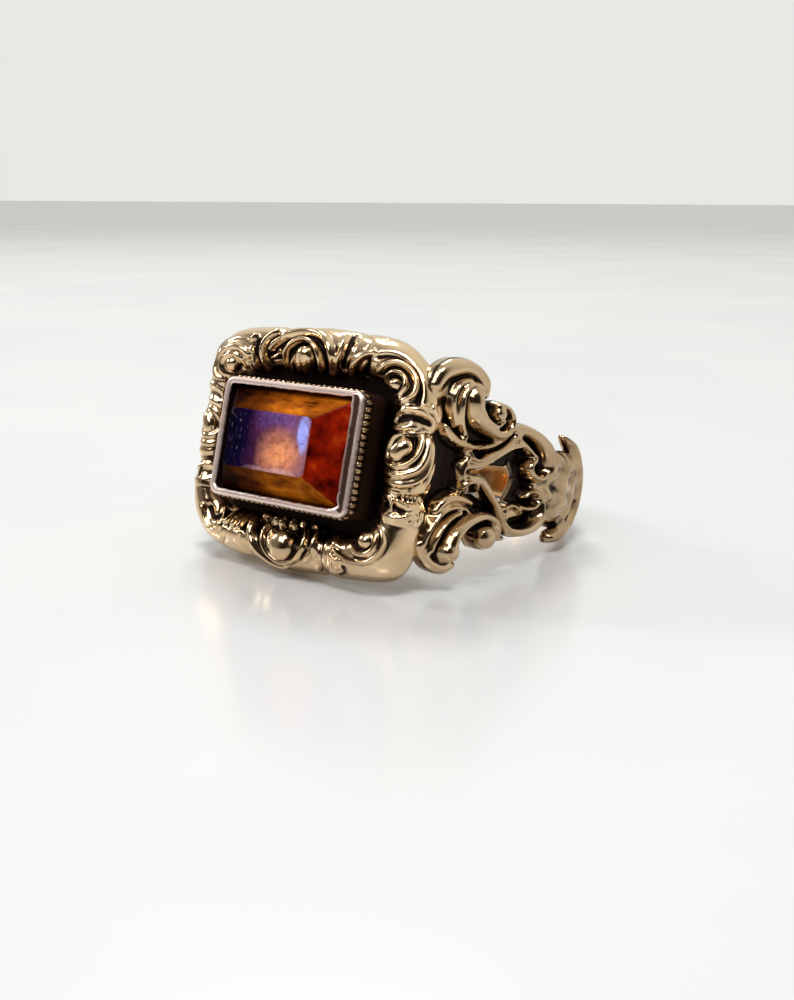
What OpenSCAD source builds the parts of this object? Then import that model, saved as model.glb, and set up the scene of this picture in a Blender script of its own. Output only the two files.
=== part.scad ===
// Dress ring: a table-cut amber stone in a rubbed-over collet, inside a puffed and chased
// border, on pierced scroll shoulders that end in crescent collars on a plain shank.
// Ring axes: Z runs along the finger, -Y points out of the stone, X runs from shoulder to
// shoulder, and the origin is the middle of the finger hole. The ring is then laid on its side.

/* [Finger hole and shank] */
// Inside diameter of the finger hole
finger_d = 17; // [16.5:0.1:17.5]
// Outside radius of the hoop
hoop_r = 9.65; // [9.5:0.05:9.9]
// Width of the shank at the sides
shank_w_side = 2.7; // [2.2:0.1:3.2]
// Width of the shank at the back
shank_w_back = 2.1; // [1.8:0.1:2.4]
// Angle by which the ring leans back when it lies on its side
rest_tilt = 16; // [14:0.1:17]

/* [Border] */
// Width of the whole border, from shoulder to shoulder
border_w = 15.5; // [15.2:0.05:16]
// Height of the whole border, along the finger
border_h = 13.6; // [13:0.05:14]
// Width of the well inside the border
well_w = 11.5; // [11.2:0.05:11.8]
// Height of the well inside the border
well_h = 8.3; // [8.1:0.05:8.5]
// Distance from the finger's middle to the border's widest line
border_y = 11.4; // [11.2:0.05:11.6]
// Distance from the finger's middle to the border's crest
crest_y = 13; // [12.8:0.05:13.2]
// Squareness of the border's outline
border_n = 4; // [3.5:0.1:4.5]

/* [Collet] */
// Width of the collet
collet_w = 9.74; // [9.5:0.02:10]
// Height of the collet, along the finger
collet_h = 6.7; // [6.5:0.05:6.9]
// Thickness of the collet's wall
collet_t = 0.42; // [0.3:0.02:0.5]
// Distance from the finger's middle to the collet's rim
rim_y = 14.25; // [14.1:0.05:14.4]
// Width of the sloping rim that is rubbed over the stone
rim_w = 0.8; // [0.6:0.05:0.9]

/* [Stone] */
// Width of the table
table_w = 5.8; // [5.4:0.1:6]
// Height of the table, along the finger
table_h = 3.3; // [3:0.1:3.5]
// Distance from the finger's middle to the table
table_y = 15.3; // [15.1:0.05:15.4]

/* [Hidden] */

seat_gap = 0.05;
finger_r = finger_d / 2;
floor_y = border_y + 0.35;
back_y = border_y - 0.9;
saddle_y = 7.6;
shank_start = 26;
bend_in = 1.8;
bend_y = 11.3;
overall_w = 2 * hoop_r + 0.9;
// Ribs and notches round the border: direction in a quarter turn, height, half-width in degrees
RIBS = [[11.5, -0.3, 3.5], [19, 0.12, 2.5], [55, 0.1, 2.5], [61, -0.15, 2], [66, 0.12, 2], [71, -0.35, 3]];
// Ornament on the face, a quarter of it: start, bend, eye, radii, angles, widths
FACE_SCROLLS = [
    [[3.1, 5.7], [5.2, 6.1], [5.75, 4.2], [1.4, 0.55], [70, -290], [0.5, 0.3]],
];
// Petals beside the rosebuds, a quarter of them: start, bend, end, widths
PETALS = [
    [[0.3, 6.6], [2.3, 6.3], [1.4, 4.3], [0.4, 0.25]],
    [[7.55, 0.2], [7.4, 1.6], [5.8, 1.0], [0.36, 0.25]],
];
// Rosebuds in the middle of each side: place, half-sizes along x, y and z
BUDS = [[[0, 5.25], [0.95, 0.75, 0.85]], [[6.75, 0], [0.95, 0.8, 0.95]]];
// Scrolls on a shoulder, upper half: start, bend, eye, radii, angles, widths
SHOULDER_SCROLLS = [
    [[-9, 4.4], [-10.8, 2.2], [-6.9, 3.2], [1.1, 0.4], [-100, 320], [0.85, 0.42]],
    [[-5.7, 2.5], [-4.2, 3.3], [-2.5, 1.2], [1.3, 0.5], [75, -280], [0.55, 0.36]],
];
// Rails, leaves and ridges on a shoulder, upper half: start, bend, end, widths
SHOULDER_STRAPS = [
    [[-8.1, 0.35], [-6.7, 1], [-5, 2.3], [0.42, 0.55]],
    [[-7.9, 0.4], [-8.7, 1.5], [-10.8, 2.1], [0.42, 0.6]],
    [[-11.1, 4.3], [-9.9, 5.4], [-8.4, 4.7], [0.65, 0.5]],
    [[-10.1, 5.1], [-11.5, 3.3], [-9.2, 1.75], [0.32, 0.3]],
];
// Beads on a shoulder, upper half: place along the ring, height, radius
SHOULDER_BEADS = [[-6.9, 3.2, 0.5], [-2.6, 1.2, 0.42]];
// Crescent collar: its tips, the pull of its belly, and its width at the tip and the middle
CRESCENT = [[-0.8, 3.1], [7.6, 0], [0.4, 1.1]];

// A solid skinned over a row of point rings, closed by flat ends or in a loop
module skin(rings, loop = false) {
    n = len(rings[0]);
    m = len(rings);
    walls = [for (i = [0 : m - (loop ? 1 : 2)], k = [0 : n - 1])
        let (a = i * n, b = (i + 1) % m * n, l = (k + 1) % n)
        each [[a + k, b + k, b + l], [a + k, b + l, a + l]]];
    ends = loop ? [] : [[for (k = [0 : n - 1]) k], [for (k = [n - 1 : -1 : 0]) (m - 1) * n + k]];
    polyhedron(points = [for (r = rings) each r], faces = concat(walls, ends));
}

function mix(a, b, t) = a + (b - a) * t;
function curve(p, q, r, t) = (1 - t) * (1 - t) * p + 2 * t * (1 - t) * q + t * t * r;

// Points of a strap, each with its half-width: a plain curve from start over bend to end
function strap_path(row, steps) = [for (i = [0 : steps])
    let (t = i / steps, p = curve(row[0], row[1], row[2], t))
    [p.x, p.y, mix(row[3][0], row[3][1], t)]];

// Points of a scroll: a stem that runs into a spiral about its eye
function scroll_path(row, stem, turn) =
    let (eye = row[2], radii = row[3], angles = row[4], widths = row[5],
        out = eye + radii[0] * [cos(angles[0]), sin(angles[0])], all = stem + turn)
    [for (i = [0 : all])
        let (t = max(0, i - stem) / turn, a = angles[0] + angles[1] * t,
            p = i < stem ? curve(row[0], row[1], out, i / stem)
                : eye + mix(radii[0], radii[1], t) * [cos(a), sin(a)])
        [p.x, p.y, mix(widths[0], widths[1], i / all)]];

// Direction of a path at point i
function heading(path, i) =
    let (a = path[max(0, i - 1)], b = path[min(len(path) - 1, i + 1)], d = [b.x - a.x, b.y - a.y])
    d / norm(d);

// Radius of the border's outline, or of the well, in a direction
function outline_r(a, half_w, half_h, n) =
    pow(pow(abs(cos(a)) / half_w, n) + pow(abs(sin(a)) / half_h, n), -1 / n);
function quarter(a) = let (q = (a + 720) % 180) q > 90 ? 180 - q : q;
function rib(a) = [for (k = RIBS) k[1] * exp(-pow((quarter(a) - k[0]) / k[2], 2))] * [for (k = RIBS) 1];
function outer_r(a) = outline_r(a, border_w / 2, border_h / 2, border_n);
function well_r(a) = outline_r(a, well_w / 2, well_h / 2, 6);

// Distance of the border's surface from the finger's middle, over a place on the face
function dome_y(x, z) =
    let (a = atan2(z, x), f = (norm([x, z]) - well_r(a)) / (outer_r(a) - well_r(a)))
    border_y + (crest_y - border_y + rib(a)) * sqrt(max(0, 1 - pow(2 * f - 1, 2)));

// Distance of the shoulder's surface from the ring's middle plane, at y along the ring
function shoulder_x(y) = y < 0 ? hoop_r - bend_in * pow(-y / bend_y, 1.6) : sqrt(hoop_r * hoop_r - y * y);
function shoulder_normal(y) =
    let (e = 0.01, n = [2 * e, shoulder_x(y - e) - shoulder_x(y + e)]) n / norm(n);

function on_face(a, b, lift) = [a, -dome_y(a, b) - lift, b];
function on_shoulder(a, b, lift) = let (n = shoulder_normal(a)) [shoulder_x(a) + lift * n.x, a + lift * n.y, b];

// A round-topped, flat-backed strand along a path, lying on the face or on a shoulder
module strand(path, thick, depth, face) {
    last = len(path) - 1;
    skin([for (i = [0 : last])
        let (d = heading(path, i), p = path[i], end = i == 0 || i == last ? 0.6 : 1, w = p.z * end)
        [for (s = [for (a = [0 : 60 : 180]) [w * cos(a), thick * end * sin(a)], [-w, -depth], [w, -depth]])
            let (x = p.x - d.y * s.x, z = p.y + d.x * s.x)
            face ? on_face(x, z, s.y) : on_shoulder(x, z, s.y)]]);
}

function oblong(half_w, half_h, r, y, steps = 3) = [for (c = [0 : 3], i = [0 : steps])
    let (a = 90 * (c + i / steps), sx = c == 0 || c == 3 ? 1 : -1, sz = c < 2 ? 1 : -1)
    [sx * (half_w - r) + r * cos(a), -y, sz * (half_h - r) + r * sin(a)]];

// The puffed border: a half-round section that follows the outline, ribbed and notched across
module border() {
    section = [for (a = [0 : 30 : 180]) [0.5 - 0.5 * cos(a), mix(border_y, crest_y, sin(a)), max(0.4, sin(a))]];
    under = [[0.95, border_y - 0.5, 0.3], [0.8, back_y, 0], [0.1, back_y, 0]];
    skin([for (t = [0 : 5 : 359])
        let (a = atan2(border_h * sin(t), border_w * cos(t)))
        [for (s = concat(section, under))
            let (r = mix(well_r(a), outer_r(a), s.x) + rib(a) * (s.x > 0.5 ? s.x : 0))
            [r * cos(a), -s.y - rib(a) * s.z, r * sin(a)]]], true);
}

// One quarter of the chased ornament on the border
module face_quarter() {
    for (row = FACE_SCROLLS) strand(scroll_path(row, 2, 7), 0.42, 0.4, true);
    for (row = PETALS) strand(strap_path(row, 3), 0.35, 0.4, true);
    eye = FACE_SCROLLS[0][2];
    translate(on_face(eye.x, eye.y, 0.1)) sphere(0.5, $fn = 10);
}

module rosebud(row) {
    translate(on_face(row[0].x, row[0].y, -0.05)) scale(row[1]) sphere(1, $fn = 12);
}

// The floor of the well
module well_floor() {
    skin([oblong(well_w / 2 + 0.3, well_h / 2 + 0.3, 0.9, back_y + 0.1),
        oblong(well_w / 2 + 0.3, well_h / 2 + 0.3, 0.9, floor_y)]);
}

// The closed box behind the well, which the finger hole hollows underneath
module back_box() {
    linear_extrude(7.2, center = true)
        polygon([[-5.6, -back_y - 0.5], [5.6, -back_y - 0.5], [5.6, -back_y], [5.2, -saddle_y],
            [-5.2, -saddle_y], [-5.6, -back_y]]);
}

// The notched wire round the foot of the collet
module edging() {
    half_w = collet_w / 2 + seat_gap + 0.28;
    half_h = collet_h / 2 + seat_gap + 0.28;
    wire = oblong(half_w, half_h, 0.8, floor_y + 0.15, 7);
    skin([for (i = [0 : len(wire) - 1])
        let (r = i % 2 == 0 ? 0.3 : 0.22, p = wire[i], out = [p.x / half_w, p.z / half_h], o = out / norm(out))
        [for (a = [30 : 60 : 359]) p + r * [o.x * cos(a), 1.3 * sin(a), o.y * cos(a)]]], true);
}

// The plain shank round the back, tapered, with a domed outside
module shank() {
    skin([for (a = [-shank_start : 8.25 : 180 + shank_start + 1])
        let (w = mix(shank_w_side, shank_w_back, max(0, sin(a))) / 2)
        [for (s = [[finger_r - 0.6, w], [hoop_r - 0.5, w], [hoop_r, w / 2], [hoop_r, -w / 2], [hoop_r - 0.5, -w],
            [finger_r - 0.6, -w]]) [s.x * cos(a), s.x * sin(a), s.y]]]);
}

// Upper half of the right shoulder's scrollwork, each strand a little deeper than the last
module shoulder_half() {
    for (i = [0 : len(SHOULDER_SCROLLS) - 1])
        strand(scroll_path(SHOULDER_SCROLLS[i], 2, 6), 0.4, 1 + 0.05 * i, false);
    for (i = [0 : len(SHOULDER_STRAPS) - 1])
        strand(strap_path(SHOULDER_STRAPS[i], 3), 0.2, 1.1 + 0.05 * i, false);
    for (bead = SHOULDER_BEADS) translate(on_shoulder(bead.x, bead.y, 0.1)) sphere(bead.z, $fn = 6);
}

// One shoulder: both halves, the knot where the rails meet, the neck and the crescent collar
module shoulder() {
    shoulder_half();
    mirror([0, 0, 1]) shoulder_half();
    strand([[-8, -0.55, 0.5], [-8, 0, 0.62], [-8, 0.55, 0.5]], 0.25, 0.95, false);
    strand([[-3.4, 0, 0.8], [-2, 0, 1.6], [0, 0, 1.7], [2, 0, 1.3]], 0.1, 0.85, false);
    strand([for (t = [0 : 0.125 : 1]) let (p = curve(CRESCENT[0], CRESCENT[1], [CRESCENT[0].x, -CRESCENT[0].y], t))
        [p.x, p.y, mix(CRESCENT[2].x, CRESCENT[2].y, sin(180 * t))]], 0.45, 0.3, false);
}

module laid() { rotate([-rest_tilt, 0, 0]) children(); }

module ring_mount() {
    color("#c9a867") laid() difference() {
        resize([overall_w, 0, 0]) union() {
            border();
            well_floor();
            back_box();
            edging();
            shank();
            for (x = [0, 1], z = [0, 1]) mirror([x, 0, 0]) mirror([0, 0, z]) face_quarter();
            for (row = BUDS, side = [0, 1]) mirror([side, 0, 0]) mirror([0, 0, side]) rosebud(row);
            for (x = [0, 1]) mirror([x, 0, 0]) shoulder();
        }
        cylinder(r = finger_r, h = 30, center = true, $fn = 96);
    }
}

module collet() {
    half_w = collet_w / 2;
    half_h = collet_h / 2;
    color("#c8907c") laid() skin([
        oblong(half_w, half_h, 0.6, floor_y + seat_gap),
        oblong(half_w, half_h, 0.6, rim_y - 0.4),
        oblong(half_w - rim_w + 0.1, half_h - rim_w / 2 + 0.05, 0.45, rim_y),
        oblong(half_w - rim_w, half_h - rim_w / 2, 0.4, rim_y - 0.1),
        oblong(half_w - collet_t, half_h - collet_t / 1.5, 0.3, rim_y - 0.5),
        oblong(half_w - collet_t, half_h - collet_t / 1.5, 0.3, floor_y + 0.4)]);
}

module amber_stone() {
    girdle_w = collet_w / 2 - collet_t - seat_gap;
    girdle_h = collet_h / 2 - collet_t / 1.5 - seat_gap;
    color("#8a3c10") laid() skin([
        oblong(2.2, 1, 0.4, floor_y + 0.4 + seat_gap, 1),
        oblong(girdle_w, girdle_h, 0.35, rim_y - 0.75, 1),
        oblong(girdle_w, girdle_h, 0.35, rim_y - 0.6, 1),
        oblong(table_w / 2, table_h / 2, 0.25, table_y, 1)]);
}

ring_mount();
collet();
amber_stone();
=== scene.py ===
from functools import partial
import math
import bpy
import numpy as np
from mathutils import Matrix, Vector


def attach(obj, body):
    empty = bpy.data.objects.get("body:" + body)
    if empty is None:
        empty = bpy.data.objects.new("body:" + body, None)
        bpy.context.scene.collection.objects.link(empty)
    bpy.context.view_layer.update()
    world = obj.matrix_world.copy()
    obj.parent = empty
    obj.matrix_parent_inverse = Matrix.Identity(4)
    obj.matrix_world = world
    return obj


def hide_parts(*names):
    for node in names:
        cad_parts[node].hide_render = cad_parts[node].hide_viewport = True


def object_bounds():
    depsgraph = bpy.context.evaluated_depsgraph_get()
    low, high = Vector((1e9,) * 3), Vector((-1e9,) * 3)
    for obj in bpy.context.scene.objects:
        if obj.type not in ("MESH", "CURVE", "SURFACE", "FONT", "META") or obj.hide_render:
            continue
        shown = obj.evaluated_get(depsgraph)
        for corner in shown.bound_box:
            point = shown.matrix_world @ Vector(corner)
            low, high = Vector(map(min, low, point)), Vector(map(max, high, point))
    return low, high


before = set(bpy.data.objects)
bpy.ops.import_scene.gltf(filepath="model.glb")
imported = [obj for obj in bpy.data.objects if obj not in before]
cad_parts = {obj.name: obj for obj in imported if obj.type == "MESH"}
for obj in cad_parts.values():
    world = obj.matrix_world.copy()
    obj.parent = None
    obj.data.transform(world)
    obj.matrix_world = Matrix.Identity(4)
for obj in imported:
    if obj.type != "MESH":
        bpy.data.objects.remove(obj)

cadBox = [list(corner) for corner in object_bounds()]
print("frame loaded, box", cadBox)

# Ring axes, in mm: Z along the finger, -Y out of the stone, X from shoulder to shoulder. The ring lies on
# its side, so everything is leaned back once, at the end. A size named Y is measured from the finger's axis.
ring = {
    "fingerR": 8.5, "hoopR": 9.65, "leanDeg": 16.0,
    "bendIn": 1.8, "bendY": 11.3,  # how far the flanks are drawn in, and at what height
    "floorY": 11.75, "backY": 10.9,  # floor of the well, and the back of the border
    "saddleY": 7.6,  # the box behind the stone comes no nearer to the axis
}


def toRow(points):
    # ring axes in mm -> row frame in metres: a turn about X by the lean
    lean = math.radians(ring["leanDeg"])
    c, s = math.cos(lean), math.sin(lean)
    x, y, z = points[..., 0], points[..., 1], points[..., 2]
    return np.stack([x, c * y + s * z, c * z - s * y], -1) * 0.001


def gridQuads(grid, loopRows=False):
    # quads of a grid of points whose rows are closed rings; the last row joins the first where asked
    rows, cols = grid.shape[:2]
    i = np.arange(rows if loopRows else rows - 1)[:, None]
    k = np.arange(cols)[None, :]
    i2, k2 = (i + 1) % rows, (k + 1) % cols
    corners = np.broadcast_arrays(i * cols + k, i2 * cols + k, i2 * cols + k2, i * cols + k2)
    return np.stack(corners, -1).reshape(-1, 4)


def lofted(rings):
    # skin over rings that run away from the finger or round it, closed with flat ends; it faces outwards
    grid = np.stack(rings)
    m, n = grid.shape[:2]
    faces = [tuple(quad) for quad in gridQuads(grid)[:, ::-1]]
    return grid, faces + [tuple(range(n - 1, -1, -1)), tuple(range((m - 1) * n, m * n))]


def addPiece(name, parts, material, attributes):
    # parts: list of (points, faces); one object, its place in its mesh
    points, faces, start = [], [], 0
    for partPoints, partFaces in parts:
        points.append(partPoints.reshape(-1, 3))
        faces += [[int(v) + start for v in face] for face in partFaces]
        start += len(points[-1])
    points = toRow(np.concatenate(points))
    mesh = bpy.data.meshes.new(name)
    mesh.from_pydata(points.tolist(), [], faces)
    # the many-sided end faces stay flat
    mesh.polygons.foreach_set("use_smooth", np.array([len(face) < 5 for face in faces]))
    for key, values in attributes.items():
        layer = mesh.attributes.new(key, "FLOAT", "POINT")
        layer.data.foreach_set("value", np.asarray(values, float).ravel())
    mesh.update()
    piece = bpy.data.objects.new(name, mesh)
    bpy.context.scene.collection.objects.link(piece)
    piece.data.materials.append(material)
    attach(piece, "root")
    print(name, len(points), "points", len(faces), "faces")
    return piece


def smoothPath(rows, count):
    # Catmull-Rom curve through the rows of a table, evened out along its length
    rows = np.asarray(rows, float)
    ends = np.vstack([2 * rows[0] - rows[1], rows, 2 * rows[-1] - rows[-2]])
    t = np.linspace(0, len(rows) - 1, 24 * len(rows))
    k = np.minimum(t.astype(int), len(rows) - 2)
    f = (t - k)[:, None]
    a, b, c, d = (ends[k + j] for j in range(4))
    bend, twist = 2 * a - 5 * b + 4 * c - d, 3 * b - 3 * c + d - a
    fine = 0.5 * (2 * b + (c - a) * f + bend * f ** 2 + twist * f ** 3)
    along = np.concatenate([[0], np.cumsum(np.linalg.norm(np.diff(fine[:, :2], axis=0), axis=1))])
    want = np.linspace(0, along[-1], count)
    return np.stack([np.interp(want, along, fine[:, j]) for j in range(fine.shape[1])], -1)


def gapsToPath(x, z, path, far):
    # the places within reach of a path; for each, its foot t on each stretch of it and how far off it lies
    near = ((x > path[:, 0].min() - far) & (x < path[:, 0].max() + far)
            & (z > path[:, 1].min() - far) & (z < path[:, 1].max() + far))
    px, pz = x[near][:, None], z[near][:, None]
    ax, az = path[:-1, 0], path[:-1, 1]
    dx, dz = np.diff(path[:, 0]), np.diff(path[:, 1])
    t = np.clip(((px - ax) * dx + (pz - az) * dz) / (dx ** 2 + dz ** 2), 0, 1)
    return near, t, np.hypot(px - ax - t * dx, pz - az - t * dz)


def outwards(grid):
    # outward normals of a grid that is closed both ways, from the cross product of its two directions
    down, across = (np.roll(grid, -1, axis) - np.roll(grid, 1, axis) for axis in (0, 1))
    n = np.cross(across, down)
    return n / np.maximum(np.linalg.norm(n, axis=-1, keepdims=True), 1e-9)


def blurred(field, wide, loopRows):
    # box blur, three times over; the last row joins the first where asked
    out = field.copy()
    for _ in range(3):
        for axis, loop in ((0, loopRows), (1, False)):
            pad = [(0, 0)] * 2
            pad[axis] = (wide, wide)
            big = np.pad(out, pad, mode="wrap" if loop else "edge")
            total = np.cumsum(np.insert(big, 0, 0, axis=axis), axis=axis)
            width = 2 * wide + 1
            out = (np.take(total, range(width, total.shape[axis]), axis)
                   - np.take(total, range(0, total.shape[axis] - width), axis)) / width
    return out


def patinaAndShadeOf(height, dark, loopRows):
    # patina and painted shade: dark where a place lies lower than what is round it, and in all that lies
    # deep
    lower = sum((blurred(height, wide, loopRows) - height) * gain for wide, gain in dark["blurs"])
    return np.clip(lower + np.clip(dark["deepFrom"] - height, 0, 1) * dark["deepGain"], 0, 1)


def newMaterial(name):
    material = bpy.data.materials.new(name)
    material.use_nodes = True
    tree = material.node_tree
    tree.nodes.clear()
    skin = tree.nodes.new("ShaderNodeBsdfPrincipled")
    out = tree.nodes.new("ShaderNodeOutputMaterial")
    tree.links.new(skin.outputs["BSDF"], out.inputs["Surface"])
    return material, tree, skin


def setInputs(tree, node, inputs):
    # a number, a vector or a colour is set on the socket itself, an output is linked to it
    for key, value in inputs.items():
        socket = node.inputs[key]
        if isinstance(value, (int, float)):
            socket.default_value = value
        elif isinstance(value, tuple):
            socket.default_value = (*value, 1) if socket.type == "RGBA" else value
        else:
            tree.links.new(value, socket)
    return node


def mappingOf(tree, coords, kind, inputs):
    mapping = tree.nodes.new("ShaderNodeMapping")
    mapping.vector_type = kind
    return setInputs(tree, mapping, {**inputs, "Vector": coords}).outputs["Vector"]


def noiseOf(tree, coords, scale, detail=3.0, rough=0.55, stretch=None):
    if stretch:
        coords = mappingOf(tree, coords, "POINT", {"Scale": stretch})
    noise = tree.nodes.new("ShaderNodeTexNoise")
    inputs = {"Vector": coords, "Scale": scale, "Detail": detail, "Roughness": rough}
    return setInputs(tree, noise, inputs).outputs["Fac"]


def rampOf(tree, value, stops):
    # a tone for each place along the value; a bare number is a grey
    ramp = tree.nodes.new("ShaderNodeValToRGB")
    elements = ramp.color_ramp.elements
    while len(elements) < len(stops):
        elements.new(0.5)
    for element, (place, tone) in zip(elements, stops):
        element.position = place
        element.color = (*(tone if isinstance(tone, tuple) else (tone,) * 3), 1)
    return setInputs(tree, ramp, {"Fac": value}).outputs["Color"]


def mixOf(tree, factor, a, b, blend="MIX"):
    mix = tree.nodes.new("ShaderNodeMix")
    mix.data_type, mix.blend_type = "RGBA", blend
    return setInputs(tree, mix, {0: factor, 6: a, 7: b}).outputs[2]


def mathOf(tree, kind, a, b=0.0, clamp=False):
    node = tree.nodes.new("ShaderNodeMath")
    node.operation, node.use_clamp = kind, clamp
    return setInputs(tree, node, {0: a, 1: b}).outputs[0]


def attributeOf(tree, name):
    attribute = tree.nodes.new("ShaderNodeAttribute")
    attribute.attribute_name = name
    return attribute.outputs["Fac"]


def bumpOf(tree, height, strength, distance):
    bump = tree.nodes.new("ShaderNodeBump")
    inputs = {"Height": height, "Strength": strength, "Distance": distance}
    return setInputs(tree, bump, inputs).outputs["Normal"]


# What all the golds share: scales of the two noises, strength of the bump, and the tones of two attributes,
# painted warm reflected light and painted brown shade.
wearAndPaintedLight = {"mottleScale": 420, "fineScale": 2600, "bumpStrength": 0.35,
        "warmGlow": (0.95, 0.52, 0.16), "brownShade": (0.17, 0.10, 0.05)}
# the patina tone and its range darken the recesses with patina and painted shade
gold = {
    "tones": ((0.70, 0.49, 0.27), (0.82, 0.62, 0.40)), "patinaShadeTone": (0.018, 0.011, 0.009),
    "roughness": (0.11, 0.42), "patinaShadeRange": (0.32, 0.62), "bump": 0.00003, "metallic": 1.0,
}
# painted shade: the hoop and its shoulders are a little browner and darker than the border, though of the
# same gold
shadedHoopGold = {**gold, "tones": ((0.58, 0.40, 0.22), (0.68, 0.51, 0.33))}


def goldMaterial(name, look):
    # mottled gold; a piece's attributes of painted warm reflected light and of painted brown shade shift its
    # tone, and "recess" brings dark patina with painted shade
    material, tree, skin = newMaterial(name)
    calc = partial(mathOf, tree)
    coords = tree.nodes.new("ShaderNodeTexCoord").outputs["Object"]
    mottle = noiseOf(tree, coords, wearAndPaintedLight["mottleScale"], 4)
    fine = noiseOf(tree, coords, wearAndPaintedLight["fineScale"], 3)
    tone = rampOf(tree, mottle, [(0.3, look["tones"][0]), (0.7, look["tones"][1])])
    # painted warm reflected light and painted brown shade, from the piece's attributes
    for key in ("warmGlow", "brownShade"):
        tone = mixOf(tree, attributeOf(tree, key), tone, wearAndPaintedLight[key])
    # patina and painted shade, from the recess attribute broken up by the fine noise
    patinaShade = calc("ADD", attributeOf(tree, "recess"), calc("MULTIPLY", calc("SUBTRACT", fine, 0.5), 0.35))
    patinaShade = rampOf(tree, patinaShade, [(look["patinaShadeRange"][0], 0), (look["patinaShadeRange"][1], 1)])
    rough = calc("ADD", calc("MULTIPLY", patinaShade, 0.6), calc("MULTIPLY", mottle, 0.4))
    pits = calc("ADD", calc("MULTIPLY", mottle, 0.6), calc("MULTIPLY", fine, 0.25))
    setInputs(tree, skin, {
        "Base Color": mixOf(tree, patinaShade, tone, look["patinaShadeTone"]),
        "Roughness": rampOf(tree, rough, [(0.1, look["roughness"][0]), (0.9, look["roughness"][1])]),
        "Metallic": look["metallic"],
        "Normal": bumpOf(tree, pits, wearAndPaintedLight["bumpStrength"], look["bump"]),
    })
    return material


yellowGold = goldMaterial("wornGold", gold)
hoopGold = goldMaterial("hoopGold", shadedHoopGold)
print("gold ready")

border = {
    "width": 15.7, "height": 13.36, "square": 4.3,
    "wellWidth": 11.5, "wellHeight": 8.3, "wellSquare": 6.0,
    "edgeY": 11.4, "crestY": 13.0, "around": 720, "across": 104,
    # bulges and waists of the outline: direction in degrees, height in mm, half-width in degrees
    "lobes": [(0, 0.14, 7), (12.5, -0.28, 3.2), (-12.5, -0.28, 3.2), (19, 0.1, 3), (-19, 0.1, 3),
              (41, -0.3, 9), (-40, 0.38, 10), (68, -0.12, 2.2), (-68, -0.14, 2.2), (88, 0.12, 12),
              (-88, 0.18, 12), (112, -0.16, 2.2), (-112, -0.1, 2.2), (138, 0.26, 10), (-143, -0.05, 8),
              (167, -0.2, 3.2), (193, -0.2, 3.2), (180, -0.12, 14)],
    "lobeRise": 0.6,  # how much of a lobe the crest takes up
    # underneath, from the rim back to the well: share of the way across, height over the edge
    "under": [(0.995, -0.08), (0.98, -0.2), (0.95, -0.32), (0.9, -0.4), (0.8, -0.45), (0.6, -0.45),
              (0.3, -0.45), (0.06, -0.45), (0.0, -0.42), (-0.01, -0.35), (-0.01, -0.2), (0.0, -0.08)],
    "fadeIn": 4, "fadeOut": 14,  # columns over which the relief fades, at the well and at the rim
    "trenchDeep": 0.12, "trenchWide": 0.055,  # along the edge of each leaf
    # patina and painted shade: blurs in points with their gains, and from what depth on the ground turns
    # dark
    "blurs": ((6, 3.2), (2, 5.5)), "deepFrom": -0.1, "deepGain": 3,
    "leftWear": 0.4,  # the left side is worn flatter than the right
}
# section of a leaf: its height times (1 - q^power)^root, where q runs from 0 in its middle to 1 at its edge
leafSections = {"round": (2, 0.5), "ridge": (1.6, 0.9), "flat": (6, 0.6)}

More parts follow.
